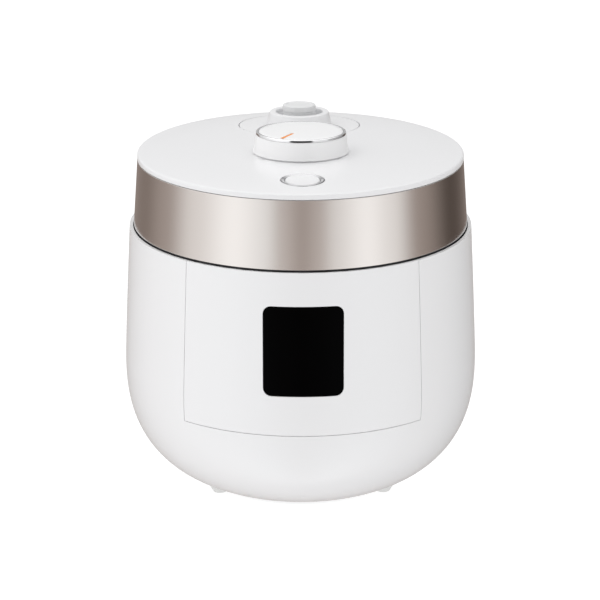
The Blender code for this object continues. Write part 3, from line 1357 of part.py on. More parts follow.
def make_locking_ring():
    low, top = RING_BOTTOM, RING_TOP
    inside = RING_OUTER - RING_WALL
    flange = FLANGE_RADIUS
    flange_low = top - RING_FLANGE
    profile = [
        (RING_OUTER, top),
        (RING_OUTER, low),
        (inside, low),
        (inside, flange_low),
        (flange, flange_low),
        (flange, top),
    ]
    locking_ring = turned("locking_ring", profile, STEEL)
    lug_tip = FLANGE_RADIUS + RING_LUG_CLEARANCE
    outlines = [
        circle(RING_OUTER - RING_WALL / 2, 24),
        lugged_circle(inside - 0.5 * MM, lug_tip, math.pi / LUG_COUNT),
    ]
    lug_low, lug_top = low + 0.1 * MM, low + RING_LUG_THICKNESS
    join(locking_ring, plate("ring_lugs", outlines, lug_low, lug_top, STEEL))
    for index, angle in enumerate(SPOKE_ANGLES):
        reach = flange + 2 * MM
        spoke = block(
            f"ring_spoke_{index + 1}",
            (-reach, -SPOKE_WIDTH / 2, flange_low + 0.4 * MM),
            (reach, SPOKE_WIDTH / 2, top - 0.4 * MM),
            STEEL,
        )
        spoke.rotation_euler.z = angle
        join(locking_ring, spoke)
    front = round(RING_TEETH * 0.75)
    first = front - SECTOR_TEETH // 2
    front_turn = -math.pi / 2 - math.tau * front / RING_TEETH
    outline = gear_outline(RING_TEETH, first, first + SECTOR_TEETH, turn=front_turn)
    join(locking_ring, plate("ring_sector", [outline], flange_low, top, STEEL))
    bore = rod("ring_pivot_bore", PIVOT_RADIUS + RUNNING + 0.1 * MM, low, BAND_TOP, STEEL)
    return cut(locking_ring, bore)


def make_hinge_bracket():
    """The lid's half of the hinge: two arms below the frame's skirt, with a knuckle each."""
    arm_low = HINGE_Z - 5 * MM
    arm_top = FRAME_BOTTOM - GAP
    arm_front = RING_OUTER + RING_PLAY + WELL_WALL + 2 * MM
    place = (HINGE_Y, HINGE_Z)
    bracket = block(
        "lid_hinge_bracket",
        (-KNUCKLE_OUTER, arm_front, arm_low + 2 * MM),
        (KNUCKLE_OUTER, arm_front + 8 * MM, arm_top),
        STEEL,
    )
    for index, side in enumerate((-1, 1)):
        ends = sorted((side * KNUCKLE_INNER, side * KNUCKLE_OUTER))
        arm = block(
            f"hinge_arm_{index + 1}",
            (ends[0] + 0.1 * MM, arm_front + MM, arm_low),
            (ends[1] - 0.1 * MM, HINGE_Y, arm_top - 0.1 * MM),
            STEEL,
        )
        knuckle = rod(f"hinge_knuckle_{index + 1}", KNUCKLE_RADIUS, *ends, STEEL, place, "X", 24)
        join(bracket, arm, knuckle)
    bore = HINGE_PIN_RADIUS + RUNNING
    reach = 1.1 * KNUCKLE_OUTER
    return cut(bracket, rod("knuckle_bore", bore, -reach, reach, STEEL, place, "X"))


def make_hinge_cover():
    """The lid's cap over the hinge: round behind the pin, flat from there to the band."""
    axis = (HINGE_Y, HINGE_Z)
    front = RING_OUTER
    half = KNUCKLE_OUTER + HINGE_CLEARANCE - SEAM
    outline = [(front, BAND_BOTTOM), (HINGE_Y, BAND_BOTTOM)]
    outline += arc(axis, HINGE_COVER_OUTER, 8, 90, 7) + [(front, HINGE_Z + HINGE_COVER_OUTER)]
    cover = plate("hinge_cover", [outline], -half, half, WHITE, facing="X")
    inner = HINGE_COVER_INNER
    hollow = arc(axis, inner, -30, 90, 8) + [(front - MM, HINGE_Z + inner)]
    hollow += [(front - MM, HINGE_Z - inner), (HINGE_Y, HINGE_Z - inner)]
    half -= HINGE_COVER_CHEEK
    cut(cover, plate("hinge_cover_hollow", [hollow], -half, half, WHITE, facing="X"))
    return cut(cover, lid_side_solid("hinge_cover_seat", GAP))


# ---------------------------------------------------------------- assembly

def joint_empty(name, place, parent):
    """An empty on a joint's axis; its place is given in the cooker's frame."""
    empty = bpy.data.objects.new(name, None)
    empty.empty_display_size = 0.02
    PARTS.objects.link(empty)
    empty["place"] = place
    empty.location = [a - b for a, b in zip(place, parent["place"])]
    empty.parent = parent
    return empty


def hang(parts, empty):
    for part in parts:
        part.location = [a - b for a, b in zip(part.location, empty["place"])]
        part.parent = empty


axis = bpy.data.objects.new("cooker_axis", None)
axis["place"] = (0.0, 0.0, 0.0)
axis.location = (0, AXIS_Y, 0)
PARTS.objects.link(axis)

heating, temperature_sensor = make_heating()
electrics, fan_rotor = make_electrics()
rear, condensate_cup = make_rear()
hang(make_body() + make_well() + heating + make_base() + electrics + rear, axis)
hang([temperature_sensor], joint_empty("sensor_slide", (0.0, 0.0, POT_BOTTOM), axis))
hang([fan_rotor], joint_empty("fan_axle", (0.0, FAN_Y, FAN_HEIGHT), axis))
hang([condensate_cup], joint_empty("cup_slide", (0.0, CUP_FRONT, CUP_BOTTOM), axis))

lid = joint_empty("lid_hinge", (0.0, HINGE_Y, HINGE_Z), axis)
vent_fixed, pressure_weight = make_vent()
valve_fixed, solenoid_plunger, safety_valve = make_valves()
button_fixed, open_button = make_open_button()
latch_pin, latch_hook = make_latch()
knob_pieces, locking_ring = make_lock()
lid_pieces = make_lid_shell() + make_pressure_parts() + vent_fixed + valve_fixed + button_fixed
hang(lid_pieces + [latch_pin, make_hinge_bracket(), make_hinge_cover()], lid)
hang([pressure_weight], joint_empty("weight_slide", (0.0, VENT_Y, WEIGHT_BOTTOM), lid))
hang([solenoid_plunger], joint_empty("plunger_slide", (*PLUNGER_PLACE, FRAME_FLOOR), lid))
hang([safety_valve], joint_empty("safety_valve_slide", (*VALVE_PLACE, PLATE_TOP), lid))
hang([open_button], joint_empty("button_slide", (0.0, BUTTON_Y, LATCH_LEVER_TOP), lid))
hang([latch_hook], joint_empty("latch_pivot", (0.0, LATCH_PIVOT_Y, LATCH_PIVOT_Z), lid))
hang(knob_pieces, joint_empty("knob_axis", (0.0, KNOB_Y, KNOB_BOTTOM), lid))
hang([locking_ring], joint_empty("ring_axis", (0.0, 0.0, RING_TOP), lid))
hang(list(CUTTERS.objects), axis)
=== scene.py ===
"""The electric pressure cooker's looks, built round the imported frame: fine casings, lid, knob, vent,
pot and hinge that replace their plain solids, and node materials for every piece that shows.

All sizes are in metres. Places come from the frame's boxes; the named values below give the
shapes between them. The front is towards -Y.
"""

import json
import math

import bmesh
import bpy
import numpy as np
from mathutils import Matrix, Vector


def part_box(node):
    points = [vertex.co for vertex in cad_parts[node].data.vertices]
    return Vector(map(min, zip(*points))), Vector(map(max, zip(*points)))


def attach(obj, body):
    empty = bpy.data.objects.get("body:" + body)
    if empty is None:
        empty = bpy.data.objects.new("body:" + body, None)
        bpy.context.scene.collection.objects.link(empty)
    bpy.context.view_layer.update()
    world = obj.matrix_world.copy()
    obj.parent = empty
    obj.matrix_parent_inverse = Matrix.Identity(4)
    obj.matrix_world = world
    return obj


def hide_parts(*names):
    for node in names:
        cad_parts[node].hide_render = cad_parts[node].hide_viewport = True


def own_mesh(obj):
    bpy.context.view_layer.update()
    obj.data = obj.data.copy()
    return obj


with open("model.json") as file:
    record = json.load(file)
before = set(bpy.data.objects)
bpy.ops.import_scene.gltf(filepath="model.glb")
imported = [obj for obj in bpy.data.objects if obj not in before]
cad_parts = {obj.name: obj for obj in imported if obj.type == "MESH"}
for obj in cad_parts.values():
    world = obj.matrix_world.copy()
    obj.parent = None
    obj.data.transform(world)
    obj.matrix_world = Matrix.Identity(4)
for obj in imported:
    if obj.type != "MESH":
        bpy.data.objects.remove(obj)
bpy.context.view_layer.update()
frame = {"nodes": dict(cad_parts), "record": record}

MM = 0.001
GAP = 0.3 * MM
SEAM = 0.5 * MM
PANEL_GAP = 0.34 * MM
RIM_SLOPE = 2.4 * MM
WALL = 2.6 * MM
FINE = 256                     # facets round the large pieces
MEDIUM = 96


def middle(node):
    low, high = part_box(node)
    return (low + high) / 2


def size(node):
    low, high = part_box(node)
    return high - low


# ---------------------------------------------------------------- places read from the frame

AXIS_Y = middle("inner_pot").y
BELLY_RADIUS = size("outer_body").x / 2
BASE_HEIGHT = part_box("outer_body")[0].z
RIM_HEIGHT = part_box("outer_body")[1].z
STRETCH = (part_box("outer_body")[1].y - AXIS_Y) / BELLY_RADIUS
BAND_BOTTOM, BAND_TOP = (corner.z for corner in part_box("lid_band"))
BAND_BOTTOM_RADIUS = size("lid_band").x / 2
DOME_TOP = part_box("lid_cover")[1].z
KNOB_Y = middle("lock_knob").y
KNOB_BOTTOM, KNOB_CROWN = (corner.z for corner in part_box("lock_knob"))
KNOB_BASE_RADIUS = size("lock_knob").x / 2
VENT_Y = middle("weight_shroud").y
SHROUD_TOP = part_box("weight_shroud")[1].z
SHROUD_BASE_RADIUS = size("weight_shroud").x / 2
WEIGHT_BOTTOM, WEIGHT_TOP = (corner.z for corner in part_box("pressure_weight"))
WEIGHT_RADIUS = size("pressure_weight").x / 2
BUTTON_Y = middle("open_button").y
DISPLAY_LOW, DISPLAY_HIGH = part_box("display_window")
PANEL_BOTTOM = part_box("front_panel")[0].z
HINGE_Y, HINGE_Z = middle("hinge_pin").y, middle("hinge_pin").z
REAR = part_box("rear_housing")[1].y

# ---------------------------------------------------------------- shapes between them

BELLY_HEIGHT = 90 * MM
BOWL_DEPTH = 95.8 * MM
BOWL_DEPTH_POWER = 2.51
BOWL_WIDTH_POWER = 3.04
RIM_TAPER = 4.6 * MM
RIM_TAPER_POWER = 1.15
BASE_MARGIN = 4.4 * MM
PANEL_HALF_ANGLE = math.radians(40.2)
DISPLAY_CORNER = 5.5 * MM
BAND_TAPER = 3.36 * MM
BAND_THICKNESS = 1.2 * MM
BAND_TOP_RADIUS = BAND_BOTTOM_RADIUS - BAND_TAPER
LID_FILLET = 1.6 * MM
DOME_RISE = 3 * MM
DOME_EDGE_RISE = 1.6 * MM
DISH_RADIUS = 45.3 * MM
BUTTON_RADIUS = 12.1 * MM
BUTTON_RING_RADIUS = 15.05 * MM
KNUCKLE_OUTER = 42 * MM
HINGE_CLEARANCE = 2 * MM
SLOT_HALF = KNUCKLE_OUTER + HINGE_CLEARANCE
NOTCH_BOTTOM = HINGE_Z - 10 * MM
NOZZLE_RADIUS = 6 * MM
HINGE_COVER_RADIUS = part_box("hinge_cover")[1].z - HINGE_Z
HINGE_COVER_WALL = 2 * MM
HINGE_COVER_CHEEK = 1.1 * MM
HINGE_SLOT_RADIUS = HINGE_COVER_RADIUS + 0.8 * MM
KNUCKLE_RADIUS = 8 * MM
RING_OUTER = size("locking_ring").x / 2
HOUSING_WALL = 2.6 * MM
POT_WALL = 2.2 * MM
POT_CORNER = 22 * MM
FLANGE_WIDTH = 8 * MM
LUG_COUNT = 8
LUG_HALF_ANGLE = 8
LEVEL_ENOUGH = 0.9             # the least upward part of a level face's normal
KNOB_SHOULDER = KNOB_CROWN - 2.5 * MM
KNOB_TOP_RADIUS = 32.6 * MM
KNOB_BOSS_RADIUS = 7.4 * MM
KNOB_SEAT_RADIUS = KNOB_BASE_RADIUS - 1.1 * MM
KNOB_RING_WIDTH = 2.1 * MM
KNOB_RING_HEIGHT = 1.8 * MM
CROWN_RADIUS = KNOB_TOP_RADIUS - KNOB_RING_WIDTH - 0.25 * MM
CROWN_FALL = 0.7 * MM
CROWN_POWER = 2.4
MARKER_LENGTH = 17 * MM
MARKER_WIDTH = 2.4 * MM
MARKER_ANGLE = math.radians(-119)

# ---------------------------------------------------------------- camera and light

CAMERA_SIDE = -0.025
CAMERA_DISTANCE = 1.7961
CAMERA_HEIGHT = 0.65675
CAMERA_PITCH = math.radians(16.4)
CAMERA_LENS = 151.24           # millimetres, as the sensor's width
CAMERA_SENSOR = 36
CAMERA_SHIFT = (-0.0008, 0.0017)

# Brightness of the sky as (bearing, value): 0 degrees is the front, and positive is to the right.
LOW_LIGHT = (
    (-180, 0.32), (-140, 0.24), (-112, 0.4), (-84, 0.86), (-52, 1.18), (-28, 1.0), (-14, 0.66),
    (0, 0.46), (12, 0.6), (26, 0.92), (50, 1.16), (70, 0.94), (94, 0.36), (130, 0.09), (180, 0.3),
)
SIDE_LIGHT = (
    (-180, 0.5), (-120, 0.8), (-80, 1.05), (-66, 1.15), (-34, 1.05), (-24, 0.04), (24, 0.04),
    (34, 0.86), (66, 0.86), (80, 0.5), (120, 0.35), (180, 0.5),
)
UPPER_LIGHT = (
    (-180, 1.4), (-110, 1.5), (-50, 1.4), (0, 1.2), (45, 1.25), (90, 1.25), (130, 1.3),
    (180, 1.4),
)
LOW_WARMTH = 0.24
SIDE_FROM = (-0.04, 0.04)      # heights on the sky, as the sine of the angle above the horizon
UPPER_FROM = (0.42, 0.8)


# ---------------------------------------------------------------- materials

def texture_graph(name, colour, roughness, metallic):
    """A Principled material with object-space coordinates ready to use."""
    paint = bpy.data.materials.new(name)
    paint.use_nodes = True
    nodes, links = paint.node_tree.nodes, paint.node_tree.links
    shader = nodes["Principled BSDF"]
    shader.inputs["Base Color"].default_value = (*colour, 1)
    shader.inputs["Roughness"].default_value = roughness
    shader.inputs["Metallic"].default_value = metallic
    place = nodes.new("ShaderNodeTexCoord").outputs["Object"]
    return paint, nodes, links, shader, place


def noise(nodes, links, place, scale, detail=3.0, stretch=(1, 1, 1)):
    mapping = nodes.new("ShaderNodeMapping")
    mapping.inputs["Scale"].default_value = stretch
    links.new(place, mapping.inputs["Vector"])
    cloud = nodes.new("ShaderNodeTexNoise")
    cloud.inputs["Scale"].default_value = scale
    cloud.inputs["Detail"].default_value = detail
    links.new(mapping.outputs["Vector"], cloud.inputs["Vector"])
    return cloud.outputs["Fac"]


def ranged(nodes, links, source, before, after):
    """Maps a value from one range to another, and stops at its ends."""
    reach = nodes.new("ShaderNodeMapRange")
    for name, value in zip(("From Min", "From Max", "To Min", "To Max"), (*before, *after)):
        reach.inputs[name].default_value = value
    links.new(source, reach.inputs["Value"])
    return reach.outputs["Result"]


def spread(nodes, links, source, low, high):
    """Maps the middle half of a texture value to a range."""
    return ranged(nodes, links, source, (0.25, 0.75), (low, high))


def worked(nodes, links, operation, *values):
    """A Math node's result. Each value is a number or another node's output."""
    step = nodes.new("ShaderNodeMath")
    step.operation = operation
    for socket, value in zip(step.inputs, values):
        if isinstance(value, (int, float)):
            socket.default_value = value
        else:
            links.new(value, socket)
    return step.outputs[0]


def tint(nodes, links, factor, first, second):
    """Blends two colours by a factor. Each is an (r, g, b) or another node's output."""
    blend = nodes.new("ShaderNodeMix")
    blend.data_type = "RGBA"
    links.new(factor, blend.inputs["Factor"])
    for name, colour in (("A", first), ("B", second)):
        if isinstance(colour, tuple):
            blend.inputs[name].default_value = (*colour, 1)
        else:
            links.new(colour, blend.inputs[name])
    return blend.outputs["Result"]


def bump(nodes, links, shader, source, depth, strength=1.0):
    relief = nodes.new("ShaderNodeBump")
    relief.inputs["Distance"].default_value = depth
    relief.inputs["Strength"].default_value = strength
    links.new(source, relief.inputs["Height"])
    links.new(relief.outputs["Normal"], shader.inputs["Normal"])


def shade(colour, factor):
    return tuple(min(1.0, part * factor) for part in colour)


def finish(name, colour, roughness, metallic=0.0, grain=900, depth=0.00002, vary=0.03,
           rough_vary=0.2, stretch=(1, 1, 1), specular=0.5, coat=0.0, cloud_scale=18):
    """Moulded or metal finish: broad colour drift, a fine grain in the gloss and in the relief."""
    paint, nodes, links, shader, place = texture_graph(name, colour, roughness, metallic)
    broad = noise(nodes, links, place, cloud_scale, 2.0)
    fine = noise(nodes, links, place, grain, 4.0, stretch)
    drift = tint(nodes, links, broad, shade(colour, 1 - vary), shade(colour, 1 + vary))
    links.new(drift, shader.inputs["Base Color"])
    gloss = spread(nodes, links, fine, roughness * (1 - rough_vary), roughness * (1 + rough_vary))
    links.new(gloss, shader.inputs["Roughness"])
    if depth:
        bump(nodes, links, shader, fine, depth)
    shader.inputs["Specular IOR Level"].default_value = specular
    shader.inputs["Coat Weight"].default_value = coat
    shader.inputs["Coat Roughness"].default_value = 0.05
    return paint


def turned_metal(name, colour, roughness, centre, pitch, depth):
    """Metal turned on a lathe: rings round a centre, a pitch apart."""
    paint, nodes, links, shader, place = texture_graph(name, colour, roughness, 1.0)
    mapping = nodes.new("ShaderNodeMapping")
    mapping.inputs["Location"].default_value = (-centre[0], -centre[1], 0)
    links.new(place, mapping.inputs["Vector"])
    rings = nodes.new("ShaderNodeTexWave")
    rings.wave_type = "RINGS"
    rings.rings_direction = "Z"
    rings.inputs["Scale"].default_value = 1 / pitch / 20
    rings.inputs["Distortion"].default_value = 0.6
    links.new(mapping.outputs["Vector"], rings.inputs["Vector"])
    streaks = noise(nodes, links, place, 34, 3.0)
    value = worked(nodes, links, "MULTIPLY", rings.outputs["Fac"], streaks)
    drift = tint(nodes, links, value, shade(colour, 0.94), shade(colour, 1.05))
    links.new(drift, shader.inputs["Base Color"])
    gloss = spread(nodes, links, streaks, roughness * 0.94, roughness * 1.06)
    links.new(gloss, shader.inputs["Roughness"])
    bump(nodes, links, shader, value, depth)
    return paint


def dotted(nodes, links, place, scale, inside, outside, randomness=1.0):
    """A mask of round dots: 1 within a dot and 0 outside it."""
    cells = nodes.new("ShaderNodeTexVoronoi")
    cells.inputs["Scale"].default_value = scale
    cells.inputs["Randomness"].default_value = randomness
    links.new(place, cells.inputs["Vector"])
    return ranged(nodes, links, cells.outputs["Distance"], (inside, outside), (1, 0))


def speckled(name, colour, fleck, roughness, metallic, grain):
    """A coating with small pale flecks."""
    paint, nodes, links, shader, place = texture_graph(name, colour, roughness, metallic)
    small = dotted(nodes, links, place, grain, 0.12, 0.2)
    links.new(tint(nodes, links, small, colour, fleck), shader.inputs["Base Color"])
    fine = noise(nodes, links, place, 700, 3.0)
    links.new(spread(nodes, links, fine, roughness * 0.8, roughness * 1.2), shader.inputs["Roughness"])
    bump(nodes, links, shader, fine, 0.00003)
    return paint


def circuit(name):
    """Solder mask over copper tracks: darker rows of tracks and small round pads."""
    green, track, pad = (0.02, 0.16, 0.07), (0.035, 0.24, 0.1), (0.62, 0.5, 0.3)
    paint, nodes, links, shader, place = texture_graph(name, green, 0.35, 0.0)
    bricks = nodes.new("ShaderNodeTexBrick")
    for socket, colour in (("Color1", green), ("Color2", shade(green, 1.3)), ("Mortar", track)):
        bricks.inputs[socket].default_value = (*colour, 1)
    bricks.inputs["Scale"].default_value = 120
    bricks.inputs["Mortar Size"].default_value = 0.04
    links.new(place, bricks.inputs["Vector"])
    dots = dotted(nodes, links, place, 260, 0.16, 0.2, 0.35)
    links.new(tint(nodes, links, dots, bricks.outputs["Color"], pad), shader.inputs["Base Color"])
    bump(nodes, links, shader, bricks.outputs["Fac"], 0.00005, 0.6)
    return paint


AXIS = (0, AXIS_Y)
KNOB_WHITE = finish("white_knob_plastic", (0.94, 0.94, 0.945), 0.3, grain=24, depth=0,
                    vary=0.006, rough_vary=0.03, coat=0.1)
WHITE = finish("white_gloss_plastic", (0.87, 0.87, 0.88), 0.26, grain=24, depth=0,
               vary=0.006, rough_vary=0.03, coat=0.2)
LID_WHITE = finish("white_lid_plastic", (0.86, 0.86, 0.87), 0.3, grain=24, depth=0,
                   vary=0.006, rough_vary=0.03, coat=0.1)
WEIGHT_PAINT = finish("grey_white_plastic", (0.78, 0.785, 0.79), 0.34, grain=500, depth=0,
                      vary=0.01)
BAND = finish("champagne_satin_metal", (0.77, 0.735, 0.71), 0.2, 1.0, grain=60, depth=0,
              vary=0.008, rough_vary=0.08, stretch=(1, 1, 40))
CHROME = finish("chrome", (0.86, 0.86, 0.87), 0.07, 1.0, grain=700, depth=0, vary=0.01)
BUTTON_CHROME = finish("satin_chrome", (0.6, 0.6, 0.61), 0.14, 1.0, grain=700, depth=0,
                       vary=0.01)
DISPLAY = finish("black_display_window", (0.0006, 0.0006, 0.0007), 0.12, grain=300,
                 depth=0, vary=0.2, specular=0.02)
DARK = finish("dark_textured_plastic", (0.035, 0.035, 0.038), 0.5, grain=1600, depth=0.00004,
              vary=0.08)
ORANGE = finish("orange_marker", (0.95, 0.33, 0.055), 0.4, grain=900, depth=0.00001, vary=0.04)
POT_COAT = speckled("non_stick_coating", (0.045, 0.042, 0.04), (0.4, 0.38, 0.35), 0.32, 0.35, 420)
CAST = finish("cast_aluminium", (0.66, 0.66, 0.67), 0.42, 1.0, grain=500, depth=0.00004, vary=0.05)
STEEL = finish("stainless_steel", (0.64, 0.64, 0.63), 0.26, 1.0, grain=160, depth=0.000006,
               vary=0.03, stretch=(1, 8, 8))
LID_STEEL = turned_metal("spun_stainless_steel", (0.68, 0.68, 0.68), 0.24, AXIS, 0.0012, 0.000008)
SILICONE = finish("silicone_rubber", (0.45, 0.45, 0.46), 0.62, grain=1200, depth=0.00003, vary=0.04)
FOOT = finish("pale_rubber", (0.74, 0.74, 0.73), 0.7, grain=1400, depth=0.00004, vary=0.04)
COPPER = turned_metal("wound_copper", (0.62, 0.29, 0.15), 0.36, AXIS, 0.0022, 0.0004)
FERRITE = finish("ferrite", (0.045, 0.045, 0.048), 0.7, grain=900, depth=0.00008, vary=0.15)
BOARD = circuit("circuit_board")
HEAT = finish("heat_resistant_plastic", (0.2, 0.185, 0.175), 0.58, grain=1300, depth=0.00004,
              vary=0.06)
CLEAR = finish("translucent_plastic", (0.78, 0.8, 0.81), 0.2, grain=600, depth=0.00001, vary=0.02)
BRASS = finish("brass", (0.76, 0.58, 0.28), 0.28, 1.0, grain=300, depth=0.00001, vary=0.05)
CLEAR.node_tree.nodes["Principled BSDF"].inputs["Transmission Weight"].default_value = 0.45
SLOT_PAINT = {
    "white_plastic": WHITE, "band": BAND, "chrome": CHROME, "display": DISPLAY,
    "dark_plastic": DARK, "orange_marker": ORANGE, "pot_coating": POT_COAT,
    "cast_aluminium": CAST, "stainless": STEEL, "silicone": SILICONE, "foot_rubber": FOOT,
    "copper_winding": COPPER, "ferrite": FERRITE, "circuit_board": BOARD,
    "heat_resistant_plastic": HEAT, "clear_plastic": CLEAR, "brass": BRASS,
}
NODE_SLOT = {part["node"]: part["material_slot"] for part in frame["record"]["subparts"]}


# ---------------------------------------------------------------- mesh tools

def mesh_object(name, points, faces):
    mesh = bpy.data.meshes.new(name)
    mesh.from_pydata([tuple(point) for point in points], [], [tuple(face) for face in faces])
    mesh.validate()
    obj = bpy.data.objects.new(name, mesh)
    bpy.context.scene.collection.objects.link(obj)
    return obj


def from_bmesh(name, shape):
    obj = mesh_object(name, [], [])
    shape.to_mesh(obj.data)
    shape.free()
    return obj


def outward(obj):
    """Turns the faces of a closed shape outwards."""
    shape = bmesh.new()
    shape.from_mesh(obj.data)
    bmesh.ops.recalc_face_normals(shape, faces=shape.faces)
    shape.to_mesh(obj.data)
    shape.free()
    return obj


def rounded(points, radius, segments=4, closed=True, keen=math.radians(24)):
    """Rounds the corners of an outline that turn by more than a keen angle."""
    count = len(points)
    result = []
    for index, point in enumerate(points):
        here = Vector(point)
        if not closed and index in (0, count - 1):
            result.append(tuple(here))
            continue
        before, after = Vector(points[index - 1]), Vector(points[(index + 1) % count])
        to_before, to_after = before - here, after - here
        if min(to_before.length, to_after.length) < 1e-9:
            continue
        turn = math.pi - to_before.angle(to_after)
        if turn < keen:
            result.append(tuple(here))
            continue
        reach = radius * math.tan(turn / 2)
        reach = min(reach, 0.45 * to_before.length, 0.45 * to_after.length)
        start = here + to_before.normalized() * reach
        end = here + to_after.normalized() * reach
        for step in range(segments + 1):
            share = step / segments
            first = start.lerp(here, share)
            second = here.lerp(end, share)
            result.append(tuple(first.lerp(second, share)))
    return result


def turned(name, profile, at=(0, None), stretch=1.0, steps=FINE, rounding=0.0, segments=3,
           reshape=None):
    """Turns an outline of (radius, height) about an upright axis. An outline that starts on the
    axis ends there too. reshape may move each ring's points: it takes and returns x, y, z."""
    place = (at[0], AXIS_Y if at[1] is None else at[1])
    open_ended = profile[0][0] <= 1e-9
    outline = rounded(profile, rounding, segments, not open_ended) if rounding else list(profile)
    angles = np.arange(steps) * math.tau / steps
    points, rings = [], []
    for radius, height in outline:
        if radius <= 1e-9:
            ring = np.array([[0.0, 0.0, height]])
        else:
            x, y = radius * np.cos(angles), radius * np.sin(angles) * stretch
            ring = np.column_stack([x, y, np.full(steps, height)])
        if reshape is not None:
            ring = reshape(ring)
        ring = ring + np.array([place[0], place[1], 0])
        rings.append(range(len(points), len(points) + len(ring)))
        points.extend(ring)
    pairs = list(zip(rings, rings[1:]))
    if not open_ended:
        pairs.append((rings[-1], rings[0]))
    faces = []
    for upper, lower in pairs:
        for step in range(steps):
            onward = (step + 1) % steps
            if len(upper) == 1 and len(lower) == 1:
                break
            if len(upper) == 1:
                faces.append((upper[0], lower[step], lower[onward]))
            elif len(lower) == 1:
                faces.append((upper[step], lower[0], upper[onward]))
            else:
                faces.append((upper[step], lower[step], lower[onward], upper[onward]))
    return outward(mesh_object(name, points, faces))


def rod(name, radius, low, high, at, axis="Z", steps=MEDIUM):
    """A round cutter or core along an axis; at gives its other two coordinates."""
    shape = bmesh.new()
    bmesh.ops.create_cone(
        shape, cap_ends=True, segments=steps, radius1=radius, radius2=radius, depth=high - low
    )
    obj = from_bmesh(name, shape)
    turns = {"X": Matrix.Rotation(math.pi / 2, 4, "Y"), "Y": Matrix.Rotation(-math.pi / 2, 4, "X")}
    along = (low + high) / 2
    place = {"X": (along, *at), "Y": (at[0], along, at[-1]), "Z": (*at, along)}[axis]
    obj.data.transform(Matrix.Translation(place) @ turns.get(axis, Matrix.Identity(4)))
    return obj


def block(name, low, high, rounding=0.0, segments=4, upright_only=False):
    """A box between two corners with rounded edges."""
    shape = bmesh.new()
    extent = [b - a for a, b in zip(low, high)]
    centre = [(a + b) / 2 for a, b in zip(low, high)]
    matrix = Matrix.Translation(centre) @ Matrix.Diagonal((*extent, 1))
    bmesh.ops.create_cube(shape, size=1, matrix=matrix)
    if rounding:
        edges = list(shape.edges)
        if upright_only:
            edges = [e for e in edges if abs(e.verts[0].co.z - e.verts[1].co.z) > extent[2] / 2]
        bmesh.ops.bevel(
            shape, geom=edges, offset=rounding, segments=segments, profile=0.5, affect="EDGES"
        )
    return from_bmesh(name, shape)


def prism(name, outline, low, high, axis="Z"):
    """An outline carried between two places: (x, y) points along Z, or (y, z) points along X."""
    ends = [(end, point) for end in (low, high) for point in outline]
    points = [(*point, end) if axis == "Z" else (end, *point) for end, point in ends]
    count = len(outline)
    faces = [tuple(range(count)), tuple(range(2 * count - 1, count - 1, -1))]
    faces += [(i, (i + 1) % count, (i + 1) % count + count, i + count) for i in range(count)]
    return outward(mesh_object(name, points, faces))


def between(first, second, share):
    """The point a share of the way from the first to the second."""
    return tuple(a + (b - a) * share for a, b in zip(first, second))


def arc(centre, radius, start, end, count):
    """Points along an arc, its angles in degrees."""
    angles = [math.radians(start + (end - start) * i / (count - 1)) for i in range(count)]
    return [(centre[0] + radius * math.cos(a), centre[1] + radius * math.sin(a)) for a in angles]


def settle(obj):
    """Works the object's modifiers into its mesh."""
    bpy.context.view_layer.update()
    graph = bpy.context.evaluated_depsgraph_get()
    mesh = bpy.data.meshes.new_from_object(obj.evaluated_get(graph))
    obj.modifiers.clear()
    obj.data = mesh
    return obj


def boolean(target, operation, *tools):
    for tool in tools:
        step = target.modifiers.new("step", "BOOLEAN")
        step.operation = operation
        step.solver = "EXACT"
        step.object = tool
    settle(target)
    for tool in tools:
        bpy.data.objects.remove(tool)
    return target


def cut(target, *tools):
    return boolean(target, "DIFFERENCE", *tools)


def join(target, *tools):
    return boolean(target, "UNION", *tools)


def show(obj, paint, body, slot, *nodes, bevel=0.0, sharp=35, weighted=True):
    """Finishes a piece: its material, soft edges, shading, body and the nodes it stands for. The slot is
    not used.
    """
    obj.data.materials.clear()
    obj.data.materials.append(paint)
    obj.data.shade_smooth()
    if bevel:
        edge = obj.modifiers.new("soft_edges", "BEVEL")
        edge.width = bevel
        edge.segments = 2
        edge.limit_method = "ANGLE"
        edge.angle_limit = math.radians(40)
        edge.harden_normals = False
    else:
        obj.data.set_sharp_from_angle(angle=math.radians(sharp))
    if weighted:
        normals = obj.modifiers.new("even_shading", "WEIGHTED_NORMAL")
        normals.keep_sharp = not bevel
        normals.weight = 80
    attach(obj, body)
    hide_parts(*nodes)
    return obj


# ---------------------------------------------------------------- shared surfaces

def body_radius(height):
    """Half-width of the body's outside: a bowl up to the belly, then a slow taper to the rim."""
    if height < BELLY_HEIGHT:
        depth = (BELLY_HEIGHT - height) / BOWL_DEPTH
        return BELLY_RADIUS * (1 - depth**BOWL_DEPTH_POWER) ** (1 / BOWL_WIDTH_POWER)
    rise = (height - BELLY_HEIGHT) / (RIM_HEIGHT - BELLY_HEIGHT)
    return BELLY_RADIUS - RIM_TAPER * rise**RIM_TAPER_POWER


def underside(x, y):
    """Height of the body's outside above a point of the table, below the belly."""
    share = min(1.0, math.hypot(x, (y - AXIS_Y) / STRETCH) / BELLY_RADIUS)
    depth = (1 - share**BOWL_WIDTH_POWER) ** (1 / BOWL_DEPTH_POWER)
    return max(BASE_HEIGHT, BELLY_HEIGHT - BOWL_DEPTH * depth)


def dome_height(x, y):
    """Height of the lid's top; x and y are measured from the cooker's axis."""
    share = np.hypot(x, y / STRETCH) / (BAND_TOP_RADIUS - LID_FILLET)
    share = np.minimum(share, 1.0)
    return DOME_TOP - DOME_RISE * share**2 - DOME_EDGE_RISE * share**6


def dome_normal(x, y):
    step = 0.05 * MM
    slope_x = (dome_height(x + step, y) - dome_height(x - step, y)) / (2 * step)
    slope_y = (dome_height(x, y + step) - dome_height(x, y - step)) / (2 * step)
    return Vector((-slope_x, -slope_y, 1)).normalized()


